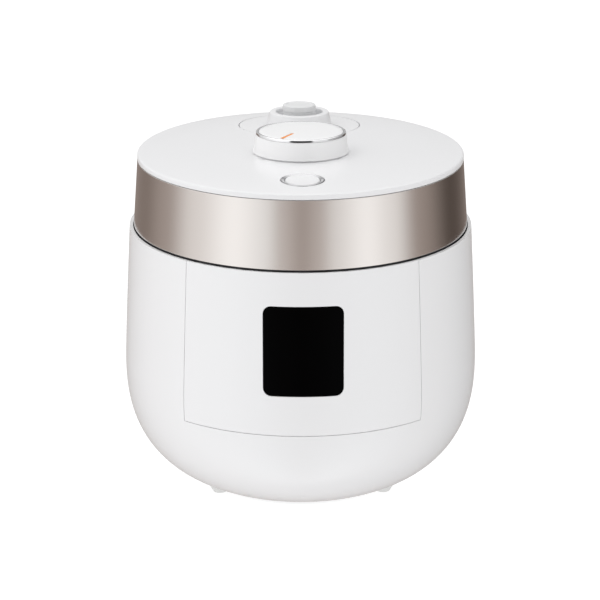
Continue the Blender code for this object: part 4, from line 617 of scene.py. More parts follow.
def set_exact_normals(obj, belongs, normal_at):
    """Gives the level faces that belong to a curved top its exact normals, so that cuts leave no
    marks. A corner where normal_at says None keeps its own."""
    mesh = obj.data
    mesh.materials.clear()
    mesh.shade_smooth()
    mesh.set_sharp_from_angle(angle=math.radians(35))
    normals = [Vector(corner.vector) for corner in mesh.corner_normals]
    for face in mesh.polygons:
        if face.normal.z < LEVEL_ENOUGH or not belongs(face.center):
            continue
        for loop in face.loop_indices:
            exact = normal_at(mesh.vertices[mesh.loops[loop].vertex_index].co)
            normals[loop] = normals[loop] if exact is None else exact
    mesh.normals_split_custom_set([tuple(normal) for normal in normals])


def shade_dome(obj, reach):
    """Shades the lid's top, out to a reach, as the dome that it is."""
    def on_dome(centre):
        from_knob = math.hypot(centre.x, centre.y - KNOB_Y)
        return centre.z >= BAND_TOP + 2 * MM and from_knob >= KNOB_SEAT_RADIUS

    def normal_at(point):
        x, y = point.x, point.y - AXIS_Y
        return dome_normal(x, y) if math.hypot(x, y / STRETCH) < reach else None

    set_exact_normals(obj, on_dome, normal_at)


def on_body(angle, height, inwards=0.0):
    """A point of the body's outside; the angle is measured from the front, towards +X."""
    radius = body_radius(height) - inwards
    return (radius * math.sin(angle), AXIS_Y - STRETCH * radius * math.cos(angle), height)


# ---------------------------------------------------------------- body

def casing_angles():
    """Bearings of the casing's columns, and how many lie on the panel, a side, the notch and the
    other side."""
    notch = math.asin(SLOT_HALF / body_radius(RIM_HEIGHT))
    stops = [-PANEL_HALF_ANGLE, PANEL_HALF_ANGLE, math.pi - notch, math.pi + notch,
             math.tau - PANEL_HALF_ANGLE]
    counts = (44, 96, 22, 96)
    angles = []
    for start, end, count in zip(stops, stops[1:], counts):
        angles += [start + (end - start) * i / count for i in range(count)]
    return angles, counts


def casing_heights(low_edge):
    """Heights of the casing's rows: past the notch, past the panel, and round the bowl."""
    heights = [RIM_HEIGHT - (RIM_HEIGHT - NOTCH_BOTTOM) * i / 4 for i in range(4)]
    heights += [NOTCH_BOTTOM - (NOTCH_BOTTOM - low_edge) * i / 26 for i in range(26)]
    bowl = [math.sin(math.pi / 2 * i / 28) for i in range(29)]
    return heights + [low_edge - (low_edge - BASE_HEIGHT) * share for share in bowl]


def make_outer_body():
    """The casing: one skin round the body, open where the front panel and the hinge sit."""
    angles, (panel, side, notch, _) = casing_angles()
    low_edge = PANEL_BOTTOM - PANEL_GAP
    heights = casing_heights(low_edge)
    points = [on_body(angle, height) for height in heights for angle in angles]
    for inset in (1.5 * MM, BASE_MARGIN):
        points += [on_body(angle, BASE_HEIGHT, inset) for angle in angles]
    around = len(angles)
    faces = []
    for row in range(len(points) // around - 1):
        top = heights[row] if row < len(heights) else BASE_HEIGHT
        for column in range(around):
            in_panel = column < panel and top > low_edge + 1e-6
            in_notch = 0 <= column - panel - side < notch and top > NOTCH_BOTTOM + 1e-6
            if in_panel or in_notch:
                continue
            a, b = row * around + column, row * around + (column + 1) % around
            faces.append((a, a + around, b + around, b))
    casing = mesh_object("outer_body_fine", points, faces)
    drop_loose(casing)
    thicken(casing, WALL)
    slope_rim(casing)
    return show(casing, WHITE, "base", "white_plastic", "outer_body", bevel=0.25 * MM)


def drop_loose(obj):
    shape = bmesh.new()
    shape.from_mesh(obj.data)
    bmesh.ops.delete(shape, geom=[v for v in shape.verts if not v.link_faces], context="VERTS")
    shape.to_mesh(obj.data)
    shape.free()


def thicken(obj, wall):
    """Gives an open skin its wall, inwards from the outside."""
    skin = obj.modifiers.new("wall", "SOLIDIFY")
    skin.thickness = wall
    skin.offset = -1
    skin.use_even_offset = True
    settle(obj)


def slope_rim(obj):
    """Slopes the rim's top down inwards, so that the gap under the lid's band reads dark."""
    for vertex in obj.data.vertices:
        place = vertex.co
        reach = math.hypot(place.x, (place.y - AXIS_Y) / STRETCH)
        if place.z > RIM_HEIGHT - 0.1 * MM and reach < body_radius(RIM_HEIGHT) - WALL / 2:
            place.z -= RIM_SLOPE


def display_outline(grow, side_steps=10, corner_steps=6):
    """The display's rounded outline as (angle, height) on the body, from its upper right."""
    half = (DISPLAY_HIGH.x - DISPLAY_LOW.x) / 2 - DISPLAY_CORNER
    low, high = DISPLAY_LOW.z + DISPLAY_CORNER, DISPLAY_HIGH.z - DISPLAY_CORNER
    centres = ((half, high), (-half, high), (-half, low), (half, low))
    turns = [arc(centre, DISPLAY_CORNER + grow, start, start + 90, corner_steps + 1)
             for centre, start in zip(centres, (0, 90, 180, 270))]
    points = []
    for index, corner in enumerate(turns):
        onward = turns[(index + 1) % 4][0]
        points += corner + [between(corner[-1], onward, i / side_steps) for i in range(1, side_steps)]
    return [(math.asin(x / body_radius(z)), z) for x, z in points]


def panel_outline(side_steps=10, half_steps=3):
    """The panel's outline, with as many points as the display's, matched corner to corner."""
    half = PANEL_HALF_ANGLE - PANEL_GAP / BELLY_RADIUS
    low, high = PANEL_BOTTOM, RIM_HEIGHT
    margin_angle, margin_height = half * 0.18, (high - low) * 0.12
    ends = []
    for index, (side, edge) in enumerate(((half, high), (-half, high), (-half, low), (half, low))):
        towards = -1 if edge == high else 1
        on_side = (side, edge + towards * margin_height)
        on_edge = (side - math.copysign(margin_angle, side), edge)
        first, last = (on_side, on_edge) if index in (0, 2) else (on_edge, on_side)
        ends.append((first, (side, edge), last))
    points = []
    for index, (first, corner, last) in enumerate(ends):
        for start, end in ((first, corner), (corner, last)):
            points += [between(start, end, i / half_steps) for i in range(half_steps)]
        onward = ends[(index + 1) % 4][0]
        points += [between(last, onward, i / side_steps) for i in range(side_steps)]
    return points


def ringed_skin(name, loops, closed_middle=False):
    """A skin on the body between matching outlines of (angle, height)."""
    points = [on_body(angle, height) for loop in loops for angle, height in loop]
    around = len(loops[0])
    faces = []
    for row in range(len(loops) - 1):
        for column in range(around):
            onward = (column + 1) % around
            a, b = row * around + column, row * around + onward
            faces.append((a, b, b + around, a + around))
    if closed_middle:
        angle = sum(point[0] for point in loops[-1]) / around
        height = sum(point[1] for point in loops[-1]) / around
        points.append(on_body(angle, height))
        start = (len(loops) - 1) * around
        centre = len(points) - 1
        faces += [(start + i, start + (i + 1) % around, centre) for i in range(around)]
    skin = mesh_object(name, points, faces)
    face_front(skin)
    return skin


def face_front(obj):
    """Makes the faces of a skin on the front of the body look forwards."""
    if sum(face.normal.y * face.area for face in obj.data.polygons) > 0:
        obj.data.flip_normals()


def make_front():
    """The front panel round its display window."""
    outer, inner = panel_outline(), display_outline(0.2 * MM)
    rows = 14
    loops = []
    for row in range(rows + 1):
        loops.append([between(*pair, row / rows) for pair in zip(outer, inner)])
    panel = ringed_skin("front_panel_fine", loops)
    thicken(panel, WALL)
    slope_rim(panel)
    show(panel, WHITE, "base", "white_plastic", "front_panel", bevel=0.2 * MM)

    edge = display_outline(0)
    centre = (0.0, (DISPLAY_LOW.z + DISPLAY_HIGH.z) / 2)
    rows = 9
    loops = [[between(centre, point, 1 - row / rows) for point in edge] for row in range(rows)]
    window = ringed_skin("display_window_fine", loops, closed_middle=True)
    thicken(window, WALL)
    show(window, DISPLAY, "base", "display", "display_window", bevel=0.25 * MM)


def make_feet():
    """Four feet whose hidden tops follow the body's underside."""
    for index in range(4):
        node = f"foot_{index + 1}"
        place = middle(node)
        radius = size(node).x / 2 + 0.1 * MM
        top = 15 * MM

        def rest_under_body(ring, place=place):
            for point in ring:
                height = underside(place.x + point[0], place.y + point[1]) - GAP
                point[2] = min(point[2], height)
            return ring

        profile = [(0, top), (radius, top), (radius, 4 * MM), (radius - 2.4 * MM, 0), (0, 0)]
        foot = turned(
            f"{node}_fine", profile, (place.x, place.y), steps=MEDIUM, rounding=0.8 * MM,
            reshape=rest_under_body,
        )
        show(foot, FOOT, "base", "foot_rubber", node)


# ---------------------------------------------------------------- lid outside

def make_lid_cover():
    """The domed lid top, with holes for the dish, the button and the knob's shaft."""
    fillet = arc((BAND_TOP_RADIUS - LID_FILLET, DOME_TOP - DOME_RISE - DOME_EDGE_RISE - LID_FILLET),
                 LID_FILLET, 90, 0, 7)
    reach = BAND_TOP_RADIUS - LID_FILLET
    dome = [(reach * i / 24, float(dome_height(reach * i / 24, 0))) for i in range(24)]
    low = BAND_TOP + GAP
    inner = BAND_TOP_RADIUS - WALL
    edge = [(BAND_TOP_RADIUS, low + 0.3 * MM), (BAND_TOP_RADIUS - 0.3 * MM, low), (inner, low)]
    under = [(inner, low + 1.2 * MM)]
    under += [(r, float(dome_height(r, 0)) - WALL) for r in (reach * 0.95, reach * 0.66, reach * 0.33, 0)]
    cover = turned("lid_cover_fine", dome + fillet + edge + under, stretch=STRETCH)
    low, high = BAND_TOP - 5 * MM, KNOB_CROWN
    seat = rod("knob_seat", KNOB_SEAT_RADIUS, DOME_TOP - 2 * MM, KNOB_BOTTOM - 0.2 * MM,
               (0, KNOB_Y), steps=192)
    join(cover, seat)
    cut(
        cover,
        rod("dish_hole", DISH_RADIUS + 0.65 * MM, low, high, (0, VENT_Y), steps=192),
        rod("button_hole", BUTTON_RING_RADIUS + 0.45 * MM, low, high, (0, BUTTON_Y)),
        rod("shaft_hole", KNOB_BOSS_RADIUS, low, high, (0, KNOB_Y)),
    )
    shade_dome(cover, reach)
    return show(cover, LID_WHITE, "lid", "white_plastic", "lid_cover", weighted=False)


def along_dome(place_y, height, upwards=True):
    """A reshaping that lifts points above a height, or below it, by the dome's rise under them."""
    offset = place_y - AXIS_Y
    centre = float(dome_height(0.0, offset))

    def reshape(ring):
        rise = dome_height(ring[:, 0], ring[:, 1] + offset) - centre
        moved = ring[:, 2] > height if upwards else ring[:, 2] < height
        ring[:, 2] = np.where(moved, ring[:, 2] + rise, ring[:, 2])
        return ring

    return reshape


def make_vent():
    """The round dish in the lid, the cup on it, and the weight on the steam nozzle."""
    centre = float(dome_height(0.0, VENT_Y - AXIS_Y))
    top, bottom = centre, centre - WALL
    rings = [(7 * MM, top)] + [(DISH_RADIUS * i / 8, top) for i in range(2, 8)]
    profile = rings + [(DISH_RADIUS - 0.25 * MM, top), (DISH_RADIUS, top - 0.25 * MM),
                       (DISH_RADIUS, bottom), (7 * MM, bottom)]
    dish = turned(
        "vent_dish_fine", profile, (0, VENT_Y), steps=192, reshape=along_dome(VENT_Y, 0)
    )
    show(dish, LID_WHITE, "lid", "white_plastic", "vent_dish", sharp=60)

    floor = WEIGHT_BOTTOM - 0.6 * MM
    mouth = 17.6 * MM
    top_radius = SHROUD_BASE_RADIUS - 1.8 * MM
    seat = centre + GAP
    profile = [
        (top_radius, SHROUD_TOP),
        (SHROUD_BASE_RADIUS - 0.2 * MM, seat + 3 * MM),
        (SHROUD_BASE_RADIUS, seat),
        (NOZZLE_RADIUS + MM, seat),
        (NOZZLE_RADIUS + MM, floor),
        (mouth - 0.4 * MM, floor),
        (mouth, SHROUD_TOP),
    ]
    outline = rounded(profile, 1.1 * MM, 5)
    shroud = turned(
        "weight_shroud_fine", outline, (0, VENT_Y), steps=192,
        reshape=along_dome(VENT_Y, seat + 1.5 * MM, upwards=False),
    )
    show(shroud, LID_WHITE, "lid", "white_plastic", "weight_shroud")

    socket, socket_top = NOZZLE_RADIUS + 0.8 * MM, WEIGHT_BOTTOM + 4.4 * MM
    groove = WEIGHT_TOP - 4.2 * MM
    profile = [
        (0, WEIGHT_TOP - 0.5 * MM),
        (WEIGHT_RADIUS - 3.4 * MM, WEIGHT_TOP - 0.5 * MM),
        (WEIGHT_RADIUS - 2.6 * MM, WEIGHT_TOP),
        (WEIGHT_RADIUS - 0.2 * MM, WEIGHT_TOP - 0.3 * MM),
        (WEIGHT_RADIUS, groove),
        (WEIGHT_RADIUS - 0.5 * MM, groove - 0.4 * MM),
        (WEIGHT_RADIUS - 0.5 * MM, WEIGHT_BOTTOM),
        (socket, WEIGHT_BOTTOM),
        (socket, socket_top),
        (0, socket_top),
    ]
    weight = turned(
        "pressure_weight_fine", profile, (0, VENT_Y), steps=128, rounding=0.7 * MM, segments=4
    )
    show(weight, WEIGHT_PAINT, "pressure_weight", "white_plastic", "pressure_weight")


def make_button():
    """The open button's cap and stem, and the chrome ring that guides them."""
    centre = float(dome_height(0.0, BUTTON_Y - AXIS_Y))
    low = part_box("open_button")[0].z
    cap_low = centre - 4.6 * MM
    stem = 3 * MM
    profile = [
        (0, centre + 0.1 * MM), (BUTTON_RADIUS * 0.5, centre + 0.1 * MM),
        (BUTTON_RADIUS - 0.5 * MM, centre + 0.1 * MM), (BUTTON_RADIUS, centre - 0.4 * MM),
        (BUTTON_RADIUS, cap_low), (stem, cap_low), (stem, low), (0, low),
    ]
    button = turned(
        "open_button_fine", profile, (0, BUTTON_Y), steps=128,
        reshape=along_dome(BUTTON_Y, centre - 2 * MM),
    )
    show(button, LID_WHITE, "open_button", "white_plastic", "open_button")
    floor = cap_low - 9 * MM
    inner = BUTTON_RADIUS + 0.4 * MM
    crest = centre + 0.3 * MM
    profile = [
        (BUTTON_RING_RADIUS - 0.5 * MM, crest),
        (BUTTON_RING_RADIUS, crest - 0.4 * MM),
        (BUTTON_RING_RADIUS, floor - 2 * MM),
        (stem + 0.6 * MM, floor - 2 * MM),
        (stem + 0.6 * MM, floor),
        (inner, floor),
        (inner, crest - 0.8 * MM),
        (inner + 0.8 * MM, crest - 0.5 * MM),
    ]
    housing = turned(
        "button_ring_fine", profile, (0, BUTTON_Y), steps=128,
        reshape=along_dome(BUTTON_Y, centre - 2 * MM),
    )
    show(housing, BUTTON_CHROME, "lid", "chrome", "button_ring", sharp=50)


def make_band():
    """The metal band round the lid, a thin wall with a slight taper."""
    profile = [
        (BAND_TOP_RADIUS, BAND_TOP),
        (BAND_BOTTOM_RADIUS, BAND_BOTTOM),
        (BAND_BOTTOM_RADIUS - BAND_THICKNESS, BAND_BOTTOM),
        (BAND_TOP_RADIUS - BAND_THICKNESS, BAND_TOP),
    ]
    band = turned("lid_band_fine", profile, stretch=STRETCH, rounding=0.35 * MM)
    show(band, BAND, "lid", "band", "lid_band")


def knob_profile():
    """The knob's outline: its crown, the step that the ring sits in, its flare and its inside."""
    steps = 10
    crown = [
        (CROWN_RADIUS * i / steps, KNOB_CROWN - CROWN_FALL * (i / steps) ** CROWN_POWER)
        for i in range(steps)
    ]
    crown += [
        (CROWN_RADIUS - 0.3 * MM, KNOB_CROWN - CROWN_FALL),
        (CROWN_RADIUS, KNOB_CROWN - CROWN_FALL - 0.3 * MM),
        (CROWN_RADIUS, KNOB_SHOULDER),
    ]
    flare = [
        (KNOB_TOP_RADIUS - 0.4 * MM, KNOB_SHOULDER),
        (KNOB_TOP_RADIUS, KNOB_SHOULDER - 0.4 * MM),
        (KNOB_BASE_RADIUS - 0.9 * MM, KNOB_BOTTOM + 2.4 * MM),
        (KNOB_BASE_RADIUS, KNOB_BOTTOM + 0.3 * MM),
        (KNOB_BASE_RADIUS - 0.3 * MM, KNOB_BOTTOM),
    ]
    wall, bore = 2 * MM, 4 * MM
    return crown + flare + [
        (KNOB_BASE_RADIUS - wall, KNOB_BOTTOM),
        (KNOB_TOP_RADIUS - wall, KNOB_SHOULDER - wall),
        (KNOB_BOSS_RADIUS, KNOB_SHOULDER - wall),
        (KNOB_BOSS_RADIUS, KNOB_BOTTOM + 2 * MM),
        (bore, KNOB_BOTTOM + 2 * MM),
        (bore, KNOB_SHOULDER - 1.2 * MM),
        (0, KNOB_SHOULDER - 1.2 * MM),
    ]


def marker_strip(name, grow, low, high, rounding):
    """The marker's round-ended strip at its angle on the crown, grown all round for its pocket."""
    far = CROWN_RADIUS - 1.6 * MM + grow
    near = CROWN_RADIUS - 1.6 * MM - MARKER_LENGTH - grow
    half = MARKER_WIDTH / 2 + grow
    strip = block(name, (near, -half, low), (far, half, high), rounding, 5, upright_only=True)
    turn = Matrix.Rotation(MARKER_ANGLE, 4, "Z")
    strip.data.transform(Matrix.Translation((0, KNOB_Y, 0)) @ turn)
    return strip


def make_knob():
    """The lock knob, and the orange marker let into its crown."""
    knob = turned("lock_knob_fine", knob_profile(), (0, KNOB_Y), steps=192)
    low, high = (corner.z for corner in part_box("knob_marker"))
    cut(knob, marker_strip("marker_pocket", 0.12 * MM, low - 0.1 * MM, KNOB_CROWN + MM, 0.7 * MM))
    shade_crown(knob)
    show(knob, KNOB_WHITE, "lock_knob", "white_plastic", "lock_knob", weighted=False)
    marker = marker_strip("knob_marker_fine", 0, low, high + 0.2 * MM, 0.6 * MM)
    show(marker, ORANGE, "lock_knob", "orange_marker", "knob_marker", bevel=0.12 * MM)


def make_knob_ring():
    """The chrome ring round the knob's crown. Its steep outside mirrors the dark front."""
    low = KNOB_SHOULDER + 0.1 * MM
    high = low + KNOB_RING_HEIGHT
    profile = [
        (KNOB_TOP_RADIUS - KNOB_RING_WIDTH, low),
        (KNOB_TOP_RADIUS - KNOB_RING_WIDTH, high),
        (KNOB_TOP_RADIUS - 0.9 * MM, high),
        (KNOB_TOP_RADIUS - 0.4 * MM, high - 0.35 * MM),
        (KNOB_TOP_RADIUS, low),
    ]
    trim = turned("knob_trim_ring_fine", profile, (0, KNOB_Y), steps=192, rounding=0.2 * MM)
    show(trim, CHROME, "lock_knob", "chrome", "knob_trim_ring")


def shade_crown(obj):
    """Shades the knob's crown as the curve that it is, round the marker's pocket."""
    def on_crown(centre):
        return centre.z >= KNOB_CROWN - CROWN_FALL - 0.2 * MM

    def normal_at(point):
        x, y = point.x, point.y - KNOB_Y
        radius = math.hypot(x, y)
        if not 1e-6 < radius < CROWN_RADIUS - 0.4 * MM:
            return None
        share = radius / CROWN_RADIUS
        slope = CROWN_POWER * CROWN_FALL / CROWN_RADIUS * share ** (CROWN_POWER - 1)
        return Vector((x / radius * slope, y / radius * slope, 1)).normalized()

    set_exact_normals(obj, on_crown, normal_at)


# ---------------------------------------------------------------- well and lid underside

def make_pot():
    """The inner pot: a thin bowl with a rolled flange and the eight lugs the ring locks on."""
    low, high = (corner.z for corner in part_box("inner_pot"))
    reach = size("inner_pot").y / 2
    flange = reach - 6.5 * MM
    outside = flange - FLANGE_WIDTH
    inside = outside - POT_WALL
    corner = (outside - POT_CORNER, low + POT_CORNER)
    seat = high - 3 * MM
    profile = [(0, low + POT_WALL), (corner[0] * 0.5, low + POT_WALL)]
    profile += arc(corner, POT_CORNER - POT_WALL, 270, 360, 14)
    profile += [(inside, high - 2 * MM), (inside + 0.6 * MM, high - 0.6 * MM)]
    profile += [(inside + 2 * MM, high), (flange - 2.6 * MM, high), (flange - 2 * MM, high - 0.6 * MM)]
    profile += [(flange - 2 * MM, seat + 0.5 * MM), (flange - 2.5 * MM, seat), (outside, seat)]
    profile += arc(corner, POT_CORNER, 360, 270, 14) + [(0, low)]
    pot = turned("inner_pot_fine", profile, steps=192)
    outline = []
    for index in range(LUG_COUNT):
        middle_angle = 360 / LUG_COUNT * index
        outline += arc((0, 0), reach, middle_angle - LUG_HALF_ANGLE, middle_angle + LUG_HALF_ANGLE, 9)
        gap = 360 / LUG_COUNT - 2 * LUG_HALF_ANGLE
        start = middle_angle + LUG_HALF_ANGLE
        outline += arc((0, 0), flange, start + 1, start + gap - 1, 13)
    lugs = prism("pot_lugs", rounded(outline, 1.2 * MM, 3, keen=math.radians(40)),
                 seat + 0.2 * MM, high - 0.2 * MM)
    lugs.data.transform(Matrix.Translation((0, AXIS_Y, 0)))
    core = rod("pot_core", outside + MM, seat - MM, high + MM, (0, AXIS_Y), steps=192)
    join(pot, cut(lugs, core))
    show(pot, POT_COAT, "base", "pot_coating", "inner_pot", bevel=0.3 * MM)


def make_underside_of_lid():
    """The inner lid with its steam holes, and the gasket round it."""
    low, high = (corner.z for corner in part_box("inner_lid"))
    radius = size("inner_lid").x / 2
    skin = low + 2.6 * MM
    profile = [(0, high), (9 * MM, high), (9 * MM, skin), (radius, skin), (radius, low)]
    profile += [(radius * 0.86, low), (radius * 0.84, low + 0.5 * MM), (radius * 0.3, low + 0.5 * MM)]
    profile += [(radius * 0.28, low), (0, low)]
    lid = turned("inner_lid_fine", profile, steps=192, rounding=0.8 * MM)
    places = ((0, 70), (-45, 62), (-58, 15.5), (45, 62), (58, 15.5))
    holes = [
        rod(f"steam_hole_{index}", 2 * MM, low - MM, high + MM, (x * MM, AXIS_Y + y * MM), steps=32)
        for index, (x, y) in enumerate(places)
    ]
    show(cut(lid, *holes), LID_STEEL, "lid", "stainless", "inner_lid", bevel=0.25 * MM)

    low, high = (corner.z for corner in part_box("gasket"))
    outer = size("gasket").x / 2
    inner = radius + 0.4 * MM
    lip = 2 * MM
    profile = [
        (outer, high), (outer, low + lip), (outer - lip / 2, low), (outer - 1.6 * lip, low + 0.8 * lip),
        (inner + 1.4 * lip, low + 0.8 * lip), (inner + lip / 2, low), (inner, low + lip), (inner, high),
    ]
    gasket = turned("gasket_fine", profile, steps=192, rounding=0.7 * MM)
    show(gasket, SILICONE, "lid", "silicone", "gasket")


# ---------------------------------------------------------------- rear

def oval_solid(name, profile):
    """A solid of the cooker's oval plan, for fitting pieces round it."""
    return turned(name, profile, stretch=STRETCH, steps=192)


def make_housing():
    """The housing behind the body, open for the hinge, the cup and the power inlet."""
    low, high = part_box("rear_housing")
    housing = block("rear_housing_fine", low, high, 8 * MM, 8)
    top = HINGE_Z - KNUCKLE_RADIUS - HINGE_CLEARANCE - HOUSING_WALL - 4 * MM
    wall = Vector((HOUSING_WALL, HOUSING_WALL, HOUSING_WALL))
    hollow_low, hollow_high = low + wall, high - wall
    hollow_low.y -= 2 * HOUSING_WALL
    hollow_high.z = top
    hollow = block("housing_hollow", hollow_low, hollow_high, 5 * MM, 4)
    slot = rod(
        "hinge_slot", HINGE_SLOT_RADIUS, -SLOT_HALF, SLOT_HALF, (HINGE_Y, HINGE_Z), "X", steps=96
    )
    mouth = block(
        "slot_mouth", (-SLOT_HALF, low.y - MM, HINGE_Z),
        (SLOT_HALF, HINGE_Y + HINGE_SLOT_RADIUS, high.z + 10 * MM),
    )
    arm_way = block(
        "arm_way", (-SLOT_HALF, low.y - 2 * MM, NOTCH_BOTTOM), (SLOT_HALF, HINGE_Y, high.z + 9 * MM)
    )
    bore = rod("hinge_bore", 3.3 * MM, -59 * MM, 59 * MM, (HINGE_Y, HINGE_Z), "X", steps=32)
    openings = []
    for node, gap in (("power_inlet", GAP), ("condensate_cup", SEAM)):
        first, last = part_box(node)
        openings.append(block(
            f"{node}_opening", (first.x - gap, REAR - 10 * MM, first.z - gap),
            (last.x + gap, REAR + 10 * MM, last.z + gap),
        ))
    rise = [RIM_HEIGHT - (RIM_HEIGHT - low.z + 20 * MM) * i / 24 for i in range(25)]
    outside = [(body_radius(z) + GAP, z) for z in rise]
    solid = oval_solid(
        "body_clearance",
        [(0, high.z + 8 * MM), (outside[0][0], high.z + 8 * MM), *outside, (0, outside[-1][1])],
    )
    cut(housing, hollow, slot, mouth, arm_way, bore, *openings, solid)
    show(housing, WHITE, "base", "white_plastic", "rear_housing", bevel=0.3 * MM)


def make_hinge_cover():
    """The lid's cap over the hinge: round behind the pin, flat from there to the band."""
    half = SLOT_HALF - SEAM
    front = AXIS_Y + RING_OUTER
    axis = (HINGE_Y, HINGE_Z)
    outline = [(front, BAND_BOTTOM), (HINGE_Y, BAND_BOTTOM)]
    outline += arc(axis, HINGE_COVER_RADIUS, 8, 90, 26) + [(front, HINGE_Z + HINGE_COVER_RADIUS)]
    cover = prism("hinge_cover_fine", outline, -half, half, "X")
    inner = HINGE_COVER_RADIUS - HINGE_COVER_WALL
    hollow = arc(axis, inner, -30, 90, 32) + [(front - MM, HINGE_Z + inner)]
    hollow += [(front - MM, HINGE_Z - inner), (HINGE_Y, HINGE_Z - inner)]
    half -= HINGE_COVER_CHEEK
    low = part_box("lid_frame")[0].z - GAP
    seat = oval_solid("hinge_cover_seat", [
        (0, BAND_TOP), (BAND_TOP_RADIUS + GAP, BAND_TOP), (BAND_BOTTOM_RADIUS + GAP, BAND_BOTTOM),
        (BAND_BOTTOM_RADIUS + GAP, low), (0, low),
    ])
    cut(cover, prism("hinge_cover_hollow", hollow, -half, half, "X"), seat)
    show(cover, WHITE, "lid", "white_plastic", "hinge_cover", bevel=0.4 * MM)


def make_cup_and_inlet():
    """The condensate cup with its grip, and the power inlet's shell round its two pins."""
    low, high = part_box("condensate_cup")
    cup = block("condensate_cup_fine", low, high, 3 * MM, 6, upright_only=True)
    wall = Vector((1.8 * MM, 1.8 * MM, 1.8 * MM))
    top = Vector((0, 0, 10 * MM))
    inside = block("cup_inside", low + wall, high - wall + top, 2 * MM, 6, upright_only=True)
    grip = block(
        "cup_grip", (-12 * MM, high.y - 1.0 * MM, high.z - 12 * MM),
        (12 * MM, high.y + MM, high.z - 6 * MM), 0.4 * MM, 2,
    )
    show(cut(cup, inside, grip), CLEAR, "condensate_cup", "clear_plastic", "condensate_cup",
         bevel=0.4 * MM)

    low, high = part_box("power_inlet")
    inlet = block("power_inlet_fine", low, high, MM, 4)
    rim = 3.5 * MM
    socket = block(
        "inlet_socket", (low.x + rim, low.y + 7 * MM, low.z + rim),
        (high.x - rim, high.y + MM, high.z - rim), 2 * MM, 5,
    )
    cut(inlet, socket)
    bores = [
        rod(f"pin_bore_{side}", 2.3 * MM, low.y - MM, high.y, (side * 5 * MM, (low.z + high.z) / 2),
            "Y", steps=32)
        for side in (-1, 1)
    ]
    show(cut(inlet, *bores), DARK, "base", "dark_plastic", "power_inlet", bevel=0.3 * MM)


# ---------------------------------------------------------------- springs

def make_spring(node, wire, turns, body):
    """A coiled spring of round wire that fills its node's box."""
    low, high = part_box(node)
    place = (low + high) / 2
    radius = (high.x - low.x) / 2 - wire
    points, faces = [], []
    steps, around = 24 * turns, 12
    start, end = low.z + wire, high.z - wire
    for step in range(steps + 1):
        turn = math.tau * step / 24
        out = Vector((math.cos(turn), math.sin(turn), 0))
        middle_point = Vector((place.x, place.y, start + (end - start) * step / steps))
        for part in range(around):
            angle = math.tau * part / around
            offset = out * (radius + wire * math.cos(angle)) + Vector((0, 0, wire * math.sin(angle)))
            points.append(middle_point + offset)
    for step in range(steps):
        for part in range(around):
            a, b = step * around + part, step * around + (part + 1) % around
            faces.append((a, b, b + around, a + around))
    faces.append(tuple(range(around)))
    faces.append(tuple(range(len(points) - around, len(points))))
    spring = outward(mesh_object(f"{node}_fine", points, faces))
    show(spring, STEEL, body, "stainless", node, weighted=False)
    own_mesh(spring)


# ---------------------------------------------------------------- carried-over nodes

def dress_frame():
    """Every node of the frame gets its slot's material and smooth round faces."""
    for name, node in frame["nodes"].items():
        node.data.materials.clear()
        node.data.materials.append(SLOT_PAINT[NODE_SLOT[name]])
        weld = node.modifiers.new("weld", "WELD")
        weld.merge_threshold = 0.00002
        smooth = node.modifiers.new("soft_edges", "BEVEL")
        smooth.width = 0.25 * MM
        smooth.segments = 2
        smooth.limit_method = "ANGLE"
        smooth.angle_limit = math.radians(40)
        for face in node.data.polygons:
            face.use_smooth = True
        normals = node.modifiers.new("even_shading", "WEIGHTED_NORMAL")
        normals.keep_sharp = False


# ---------------------------------------------------------------- stage

def make_floor():
    """A plain pale floor that mirrors don't show."""
    floor = block("studio_floor", (-8, -8, -0.02), (8, 8, 0), 0.005, 2)
    paint = finish("pale_floor", (0.3, 0.3, 0.3), 0.9, grain=40, depth=0, vary=0.004)
    shader = paint.node_tree.nodes["Principled BSDF"]
    shader.inputs["Emission Color"].default_value = (1, 1, 1, 1)
    shader.inputs["Emission Strength"].default_value = 0.8
    floor.data.materials.append(paint)
    floor.visible_glossy = False


def sky_ramp(nodes, links, bearing, stops, warmth=0.0):
    """Brightness by bearing. Warmth reddens the dark stretches."""
    ramp = nodes.new("ShaderNodeValToRGB")
    ramp.color_ramp.interpolation = "EASE"
    marks = ramp.color_ramp.elements
    while len(marks) > 1:
        marks.remove(marks[-1])
    for index, (angle, value) in enumerate(stops):
        position = (angle + 180) / 360
        mark = marks[0] if index == 0 else marks.new(position)
        mark.position = position
        dim = warmth * (1 - min(value, 1.0))
        mark.color = (value, value * (1 - dim), value * (1 - 1.5 * dim), 1)
    links.new(bearing, ramp.inputs["Fac"])
    return ramp.outputs["Color"]


def climb(nodes, links, height, low, high, heights):
    """Blends two levels of the sky between two heights on it."""
    share = ranged(nodes, links, height, heights, (0, 1))
    share.node.interpolation_type = "SMOOTHSTEP"
    return tint(nodes, links, share, low, high)


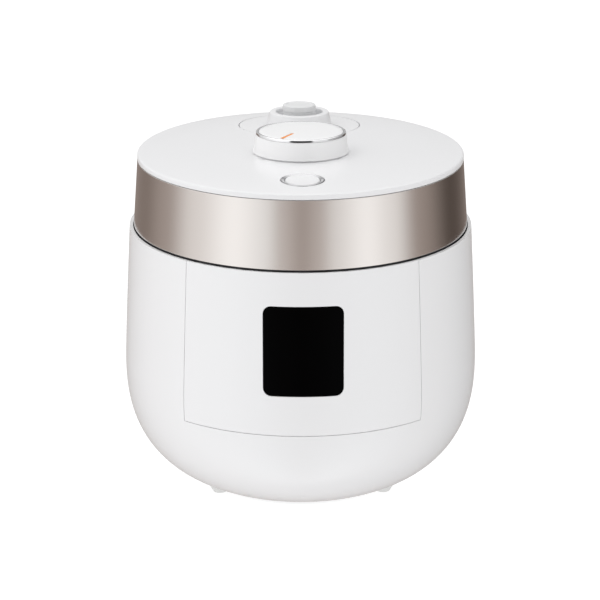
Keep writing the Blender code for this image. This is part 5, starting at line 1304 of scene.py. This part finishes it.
def make_sky():
    """Soft studio light: three levels of sky, each with its own brightness by bearing."""
    world = bpy.data.worlds.new("studio")
    bpy.context.scene.world = world
    world.use_nodes = True
    nodes, links = world.node_tree.nodes, world.node_tree.links
    parts = nodes.new("ShaderNodeSeparateXYZ")
    links.new(nodes.new("ShaderNodeTexCoord").outputs["Generated"], parts.inputs["Vector"])
    x, y, height = parts.outputs
    ahead = worked(nodes, links, "MULTIPLY", y, -1)
    turn = worked(nodes, links, "ARCTAN2", x, ahead)
    bearing = ranged(nodes, links, turn, (-math.pi, math.pi), (0, 1))
    low = sky_ramp(nodes, links, bearing, LOW_LIGHT, LOW_WARMTH)
    side = sky_ramp(nodes, links, bearing, SIDE_LIGHT)
    upper = sky_ramp(nodes, links, bearing, UPPER_LIGHT)
    level = climb(nodes, links, height, low, side, SIDE_FROM)
    sky = climb(nodes, links, height, level, upper, UPPER_FROM)
    links.new(sky, nodes["Background"].inputs["Color"])


def make_camera():
    """The camera at the photo's place, angle and lens."""
    camera_data = bpy.data.cameras.new("camera")
    camera_data.sensor_width = CAMERA_SENSOR
    camera_data.lens = CAMERA_LENS
    camera_data.clip_end = 50
    camera_data.shift_x, camera_data.shift_y = CAMERA_SHIFT
    camera = bpy.data.objects.new("camera", camera_data)
    bpy.context.scene.collection.objects.link(camera)
    camera.location = (CAMERA_SIDE, AXIS_Y - CAMERA_DISTANCE, CAMERA_HEIGHT)
    yaw = math.atan2(-CAMERA_SIDE, CAMERA_DISTANCE)
    camera.rotation_euler = (math.pi / 2 - CAMERA_PITCH, 0, -yaw)
    bpy.context.scene.camera = camera
    bpy.context.scene.view_settings.view_transform = "Standard"


dress_frame()
make_outer_body()
make_front()
make_feet()
make_lid_cover()
make_vent()
make_button()
make_band()
make_knob()
make_knob_ring()
make_pot()
make_underside_of_lid()
make_housing()
make_hinge_cover()
make_cup_and_inlet()
make_spring("sensor_spring", 0.8 * MM, 3, "base")
make_spring("button_spring", 0.6 * MM, 3, "lid")
make_floor()
make_sky()
make_camera()
